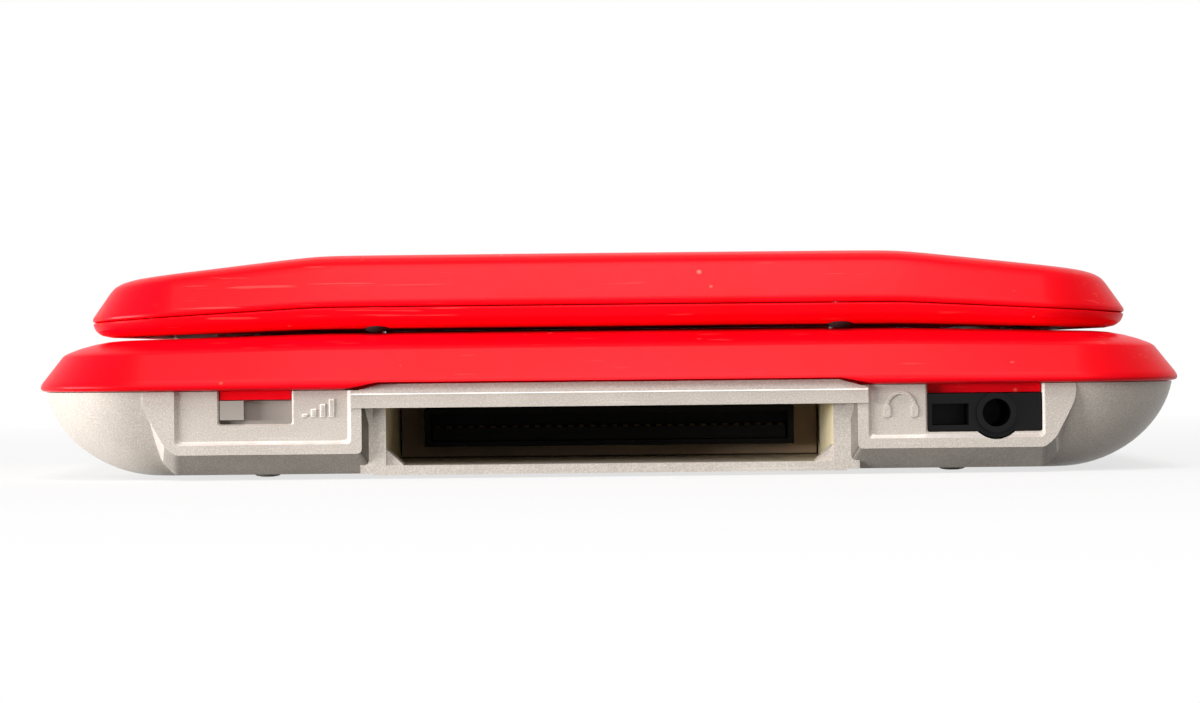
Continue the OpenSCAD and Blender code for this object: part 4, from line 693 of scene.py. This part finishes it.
def make_dpad():
    """Cross with a shallow dish, a flange, a nub that it rocks on, and four plungers."""
    x, y = DPAD
    span, arm, r = DPAD_SPAN, DPAD_ARM, 0.8
    low, high = 15.0, BUTTON_TOP
    one = prism(rounded_rect(span, arm, r, x, y), low, high)
    join(one, prism(rounded_rect(arm, span, r, x, y), low, high))
    ball, steps = 9, 32
    dish = [(ball * math.sin(t), high + ball - 0.6 - ball * math.cos(t))
            for t in (math.pi * k / steps for k in range(steps + 1))]
    cut(one, lathe(dish, (x, y, 0), "z", 48))
    flange = rod((x, y, 0), span / 2 + 0.9, 14.05, 15.05, steps=64)
    nub = lathe([(0, 11.6), (1.0, 11.9), (1.5, 13.1), (1.25, 14.2), (0, 14.2)], (x, y, 0))
    off = span / 2 - 2.6
    plungers = [rod((x + dx * off, y + dy * off, 0), 1.3, 13.1, 14.2)
                for dx, dy in ((1, 0), (0, 1), (-1, 0), (0, -1))]
    join(one, flange, nub, *plungers)
    one.name = "direction_pad"
    return smooth(one, 30, bevel=0.35, segments=3)


def make_shoulder(side):
    """Shoulder button on the right (1) or on the left (-1)."""
    low, high = SHOULDER_Z
    outside = soften([(3.2, low), (2.0, 7.1), (1.4, 8.4), (1.2, 10.2), (1.2, 13), (1.7, 14.2), (3, high)],
                     0.5, 3)
    part = base_skin(outside)
    part.name = "shoulder_key"
    front = BACK - SHOULDER_D
    keep(part, box((SHOULDER_X, front, 0), (BASE_HW + OVER, BACK + OVER, 30)))
    cut(part, rod((*PIN, 0), 0.85, 0, 30),
        box((PIN[0] + 4, front - OVER, 8.4), (BASE_HW - 11, front + 4.6, 13.6)))
    if side < 0:
        mirror(part)
    return smooth(part, 30, bevel=0.35, segments=3)


# ------------------------------------------------------------------ materials
SCRATCH_STRETCH = (70, 900, 2600)
SCRATCH_SETS = ((0.35, 0.69), (-0.9, 0.72))  # turn of the lines, and the level over which they show


def material(name, colour, rough, second=None, cloud=90, grain=4000, speckle=0.0, bump=0.02, metallic=0,
             specular=0.35, scratch=None, chips=None, ends=None):
    """Principled material whose colour, roughness and bump vary through noise in the object's coordinates.

    cloud is the scale of the slow change from second to colour, grain that of the fine bump and of the
    speckle. scratch and chips are the colours of thin scratches and small chips, ends the colour and
    the distance from the middle at which the right and left ends are rubbed.
    """
    mat = bpy.data.materials.new(name)
    mat.use_nodes = True
    tree = mat.node_tree
    new, link = tree.nodes.new, tree.links.new
    shader = tree.nodes["Principled BSDF"]
    coords = new("ShaderNodeTexCoord").outputs["Object"]

    def noise(scale, detail, stretch=None, turn=0):
        n = new("ShaderNodeTexNoise")
        n.inputs["Scale"].default_value = scale
        n.inputs["Detail"].default_value = detail
        source = coords
        if stretch:
            m = new("ShaderNodeMapping")
            m.inputs["Scale"].default_value = stretch
            m.inputs["Rotation"].default_value = (0, turn, 0)
            link(coords, m.inputs["Vector"])
            source = m.outputs["Vector"]
        link(source, n.inputs["Vector"])
        return n.outputs["Fac"]

    def ramp(source, *stops):
        r = new("ShaderNodeValToRGB")
        for e, (place, value) in zip(r.color_ramp.elements, stops):
            e.position = place
            e.color = (*value, 1) if isinstance(value, tuple) else (value, value, value, 1)
        link(source, r.inputs["Fac"])
        return r.outputs["Color"]

    def times(a, b):
        m = new("ShaderNodeMath")
        m.operation = "MULTIPLY"
        link(a, m.inputs[0])
        link(b, m.inputs[1])
        return m.outputs[0]

    def layer(below, mask, above):
        m = new("ShaderNodeMix")
        m.data_type = "RGBA"
        link(mask, m.inputs["Factor"])
        link(below, m.inputs["A"])
        m.inputs["B"].default_value = (*above, 1)
        return m.outputs["Result"]

    def near_ends(start):
        """0 up to a distance from the middle, and 1 from 2 mm further out."""
        apart = new("ShaderNodeSeparateXYZ")
        link(coords, apart.inputs[0])
        out = new("ShaderNodeMath")
        out.operation = "ABSOLUTE"
        link(apart.outputs["X"], out.inputs[0])
        near = new("ShaderNodeMapRange")
        near.inputs["From Min"].default_value = start * MM
        near.inputs["From Max"].default_value = (start + 2) * MM
        link(out.outputs[0], near.inputs["Value"])
        return near.outputs["Result"]

    second = second or tuple(c * 0.86 for c in colour)
    base = ramp(noise(cloud, 4), (0.3, second), (0.7, colour))
    fine = noise(grain, 2)
    if speckle:
        light, dark = tuple(min(1, c * 1.6 + 0.1) for c in colour), tuple(c * 0.45 for c in colour)
        base = layer(base, ramp(fine, (0.5, 0.0), (0.9, speckle)), light)
        base = layer(base, ramp(fine, (0.12, speckle), (0.5, 0.0)), dark)
    if ends:
        rubbed, start = ends
        base = layer(base, times(near_ends(start), ramp(noise(420, 5), (0.56, 0.0), (0.64, 0.8))), rubbed)
    if scratch:
        for turn, level in SCRATCH_SETS:
            thin = ramp(noise(1, 1, SCRATCH_STRETCH, turn), (level, 0.0), (level + 0.03, 0.45))
            base = layer(base, times(thin, ramp(noise(60, 2), (0.5, 0.0), (0.56, 1.0))), scratch)
    if chips:
        dots = new("ShaderNodeTexVoronoi")
        dots.inputs["Scale"].default_value = 330
        link(coords, dots.inputs["Vector"])
        spot = ramp(dots.outputs["Distance"], (0.08, 1.0), (0.13, 0.0))
        base = layer(base, times(spot, ramp(noise(140, 2), (0.6, 0.0), (0.63, 0.7))), chips)
    link(base, shader.inputs["Base Color"])
    wide = new("ShaderNodeMapRange")
    link(noise(700, 3), wide.inputs["Value"])
    wide.inputs["To Min"].default_value = max(0.02, rough * 0.92)
    wide.inputs["To Max"].default_value = min(1, rough * 1.08)
    link(wide.outputs["Result"], shader.inputs["Roughness"])
    if bump:
        b = new("ShaderNodeBump")
        b.inputs["Strength"].default_value = 0.4
        b.inputs["Distance"].default_value = bump * MM
        link(fine, b.inputs["Height"])
        link(b.outputs["Normal"], shader.inputs["Normal"])
    shader.inputs["Metallic"].default_value = metallic
    shader.inputs["Specular IOR Level"].default_value = specular
    return mat


def srgb(*levels):
    """Linear colour from the 0 to 255 levels of a picture."""
    shares = [v / 255 for v in levels]
    return tuple(v / 12.92 if v <= 0.04045 else ((v + 0.055) / 1.055) ** 2.4 for v in shares)


RED_LOOK = {"colour": srgb(247, 2, 26), "rough": 0.34, "second": srgb(241, 1, 16), "grain": 5000,
            "bump": 0.006, "specular": 0.09, "scratch": srgb(255, 84, 80), "chips": srgb(255, 130, 100)}
RUBBED = srgb(255, 62, 12)
METAL_GRAIN = {"grain": 6500, "bump": 0.03}
RED = material("red_plastic", ends=(RUBBED, 72.2), **RED_LOOK)
RED_LID = material("red_lid_plastic", ends=(RUBBED, 65.5), **RED_LOOK)
SILVER = material("silver_plastic", srgb(196, 187, 177), 0.36, srgb(188, 179, 170), cloud=160, speckle=0.6,
                  metallic=0.05, scratch=srgb(216, 211, 202), **METAL_GRAIN)
# Painted highlight: a near-white silver put on the shell's bevels, the beam's crease, the panels' ledges and
# the marks' edges, standing in for the light that they catch.
SILVER_PAINTED_HIGHLIGHT = material("silver_painted_highlight", srgb(250, 248, 242), 0.3, srgb(224, 217, 208), cloud=300, bump=0,
                       metallic=0.5)
# Painted shade: a dark silver for the sides of the slot's grooves.
SILVER_PAINTED_SHADE = material("silver_painted_shade", srgb(116, 108, 98), 0.45, srgb(92, 84, 76), cloud=400, speckle=0.4,
                      **METAL_GRAIN)
# Painted shade: a darker silver for the slopes under the pads.
SILVER_PAINTED_SHADE_LOW = material("silver_painted_shade_low", srgb(158, 151, 142), 0.38, srgb(140, 133, 125), cloud=160, speckle=0.6,
                      metallic=0.05, **METAL_GRAIN)
GUIDE = material("guide_plastic", srgb(238, 226, 184), 0.4, srgb(220, 204, 170), cloud=120, speckle=0.4,
                 metallic=0.1, **METAL_GRAIN)
BLACK = material("black_plastic", srgb(9, 8, 10), 0.4, bump=0.03, specular=0.16)
SOCKET = material("socket_plastic", srgb(15, 13, 12), 0.6, specular=0.1)
SOCKET_PLATE = material("socket_plate", srgb(165, 142, 118), 0.6, specular=0.1)
GREY = material("grey_plastic", srgb(160, 152, 144), 0.45)
BUTTON = material("button_plastic", srgb(214, 212, 210), 0.3)
SILICONE = material("silicone", srgb(196, 196, 190), 0.6)
RUBBER = material("rubber", srgb(30, 28, 29), 0.75, bump=0.05)
# Painted light: the feet's rubber is made near white, lighter than its own colour, so that the feet still
# look light in the shade under the base.
FOOT = material("foot_rubber_painted_light", srgb(232, 227, 216), 0.8, bump=0.05)
BOARD = material("board", srgb(18, 74, 44), 0.4)
CELL = material("cell", srgb(52, 54, 60), 0.4)
SHIELD = material("shield_steel", srgb(176, 178, 180), 0.3, metallic=1)
STEEL = material("screw_steel", srgb(96, 97, 100), 0.35, metallic=1)
HINGE_STEEL = material("hinge_steel", srgb(150, 152, 155), 0.3, metallic=1)
# Painted shade: the brass contacts are darkened well below brass's own colour, so that those in the slot's
# shade stay as dark as their surroundings.
BRASS_PAINTED_SHADE = material("contact_brass", srgb(62, 50, 32), 0.65, metallic=1)
GLASS = material("screen_glass", srgb(14, 15, 17), 0.06, srgb(11, 12, 14), bump=0, specular=0.5)
DISPLAY = material("display_glass", srgb(34, 37, 38), 0.2, bump=0)
LIGHT = material("light_guide", srgb(206, 214, 206), 0.25)
FLEX = material("flex_film", srgb(190, 110, 30), 0.35)

SLOTS = {
    "lid_red": RED_LID,
    "base_red": RED,
    "silver_plastic": SILVER,
    "black_plastic": BLACK,
    "grey_plastic": GREY,
    "button_plastic": BUTTON,
    "rubber_pad": RUBBER,
    "silicone": SILICONE,
    "board": BOARD,
    "cell": CELL,
    "shield_steel": SHIELD,
    "screw_steel": STEEL,
    "hinge_steel": HINGE_STEEL,
    "contact_brass": BRASS_PAINTED_SHADE,
    "screen_glass": GLASS,
    "display_glass": DISPLAY,
    "light_guide": LIGHT,
    "flex_film": FLEX,
}


# ------------------------------------------------------------------ pieces on their bodies
def dress(obj, slot, body, *nodes):
    """Puts a piece on its body in place of CAD nodes. Without a material, it gets its slot's."""
    if not obj.data.materials:
        obj.data.materials.append(SLOTS[slot])
    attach(obj, body)
    if nodes:
        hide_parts(*nodes)
    return obj


dress(make_bottom_shell(), "silver_plastic", "base", "base_bottom_shell", "base_front_wall", "base_back_wall")
dress(make_guide(), "silver_plastic", "base", "slot_guide")
connector_plate, connector = make_connector()
dress(connector, "black_plastic", "base", "cartridge_connector")
dress(connector_plate, "grey_plastic", "base", "cartridge_connector")
for name, mark in zip(("volume_marks", "sound_marks"), make_marks()):
    mark.name = name
    # The marks' bevels take the painted highlight.
    dress(smooth(mark, 30, bevel=0.11, materials=(SILVER, SILVER_PAINTED_HIGHLIGHT)), "silver_plastic", "base")
feet, lid_pads = make_feet()
dress(feet, "rubber_pad", "base", "rubber_feet")
dress(lid_pads, "rubber_pad", "lid", "lid_bumpers")
dress(make_top_shell(), "base_red", "base", "base_top_shell")
dress(make_lid_cover(), "lid_red", "lid", "lid_cover")
dress(make_lid_bezel(), "lid_red", "lid", "lid_bezel")
for keys, across, top in ((KEYS, ACTION_D, BUTTON_TOP), (SMALL_KEYS, SMALL_D, SMALL_TOP)):
    for key, place in keys.items():
        knob = make_button("key_" + key, *place, across, top)
        dress(knob, "button_plastic", key + "_key", "button_" + key)
dress(make_dpad(), "button_plastic", "dpad_pad", "dpad")
dress(make_shoulder(1), "silver_plastic", "right_trigger", "shoulder_right")
dress(make_shoulder(-1), "silver_plastic", "left_trigger", "shoulder_left")

node_slot = {part["node"]: part["material_slot"] for part in frame["record"]["subparts"]}
for name, node in frame["nodes"].items():
    if node.hide_render:
        continue
    smooth(node, 30, materials=(SLOTS[node_slot[name]],))

# ------------------------------------------------------------------ floor, light and camera
FLOOR_HALF = 3000
FLOOR_LIT = (0.2, 0.2, 0.195, 1)  # the floor's colour for the light that it throws back
FLOOR_SEEN = (0.85, 0.85, 0.85, 1)  # and for the camera
GLOW_FROM, GLOW_TO = (0.1, 0.72), (0.36, 1.0)  # distance from the object, and the share of plain white there
AMBIENT = 0.22  # strength of the white surroundings as a source of light
# name, place, target, width and height, power
LAMPS = [
    ("front", (0.0, -0.87, 0.56), (0, 0, 0.01), (0.9, 0.4), 3.6),
    ("top", (0, -0.5, 0.9), (0, 0, 0.02), (0.4, 0.35), 5),
    ("left", (-0.84, -0.26, 0.055), (-0.05, 0, 0.006), (0.7, 0.09), 15),
]
CAMERA_DISTANCE, CAMERA_X, CAMERA_Z, CAMERA_ROLL = 450, -1.14, 16, 0.6
CAMERA_LENS = 106.38


def math_node(tree, operation, a, b):
    node = tree.nodes.new("ShaderNodeMath")
    node.operation = operation
    tree.links.new(a, node.inputs[0])
    tree.links.new(b, node.inputs[1])
    return node.outputs[0]


def seen_directly(tree):
    """1 on camera, glossy and transmission rays, and 0 on the rays that carry diffuse light."""
    path = tree.nodes.new("ShaderNodeLightPath")
    total = path.outputs["Is Camera Ray"]
    for kind in ("Is Glossy Ray", "Is Transmission Ray"):
        total = math_node(tree, "MAXIMUM", total, path.outputs[kind])
    return total


def map_range(tree, value, start, end):
    """Turns the first number of start and end into the second, and what lies between evenly."""
    node = tree.nodes.new("ShaderNodeMapRange")
    node.inputs["From Min"].default_value, node.inputs["To Min"].default_value = start
    node.inputs["From Max"].default_value, node.inputs["To Max"].default_value = end
    tree.links.new(value, node.inputs["Value"])
    return node.outputs["Result"]


def make_floor():
    """Pale floor that keeps the shadow near the object and turns into plain white away from it."""
    h = FLOOR_HALF
    floor = new_mesh("floor", [(-h, -h, 0), (h, -h, 0), (h, h, 0), (-h, h, 0)], [(0, 1, 2, 3)])
    mat = bpy.data.materials.new("floor")
    mat.use_nodes = True
    tree = mat.node_tree
    new, link = tree.nodes.new, tree.links.new
    shade = tree.nodes["Principled BSDF"]
    shade.inputs["Roughness"].default_value = 0.9
    pale = new("ShaderNodeMix")
    pale.data_type = "RGBA"
    pale.inputs["A"].default_value = FLOOR_LIT
    pale.inputs["B"].default_value = FLOOR_SEEN
    link(seen_directly(tree), pale.inputs["Factor"])
    link(pale.outputs["Result"], shade.inputs["Base Color"])
    glow = new("ShaderNodeEmission")
    glow.inputs["Strength"].default_value = 1
    far = new("ShaderNodeVectorMath")
    far.operation = "LENGTH"
    link(new("ShaderNodeTexCoord").outputs["Object"], far.inputs[0])
    white = map_range(tree, far.outputs["Value"], GLOW_FROM, GLOW_TO)
    blend = new("ShaderNodeMixShader")
    link(math_node(tree, "MULTIPLY", seen_directly(tree), white), blend.inputs[0])
    link(shade.outputs[0], blend.inputs[1])
    link(glow.outputs[0], blend.inputs[2])
    link(blend.outputs[0], tree.nodes["Material Output"].inputs["Surface"])
    floor.data.materials.append(mat)


def make_world():
    """White surroundings, which light the object less than they show."""
    world = bpy.data.worlds.new("studio")
    bpy.context.scene.world = world
    world.use_nodes = True
    tree = world.node_tree
    backdrop = tree.nodes["Background"]
    strength = map_range(tree, seen_directly(tree), (0, AMBIENT), (1, 1.0))
    tree.links.new(strength, backdrop.inputs["Strength"])
    backdrop.inputs["Color"].default_value = (1, 1, 1, 1)


def area_light(name, place, target, size, power):
    data = bpy.data.lights.new(name, "AREA")
    data.shape = "RECTANGLE"
    data.size, data.size_y = size
    data.energy = power
    lamp = bpy.data.objects.new(name, data)
    bpy.context.scene.collection.objects.link(lamp)
    lamp.location = place
    lamp.rotation_euler = (Vector(target) - Vector(place)).to_track_quat("-Z", "Y").to_euler()


def make_camera():
    """Camera level with the base's upper half, looking straight at the front."""
    view = bpy.data.cameras.new("camera")
    view.lens = CAMERA_LENS
    view.sensor_width = 36
    view.clip_start = 0.01
    camera = bpy.data.objects.new("camera", view)
    bpy.context.scene.collection.objects.link(camera)
    camera.location = (CAMERA_X * MM, (FRONT - CAMERA_DISTANCE) * MM, CAMERA_Z * MM)
    camera.rotation_euler = (math.pi / 2, math.radians(CAMERA_ROLL), 0)
    bpy.context.scene.camera = camera


make_floor()
make_world()
for lamp in LAMPS:
    area_light(*lamp)
make_camera()
bpy.context.scene.view_settings.view_transform = "Standard"
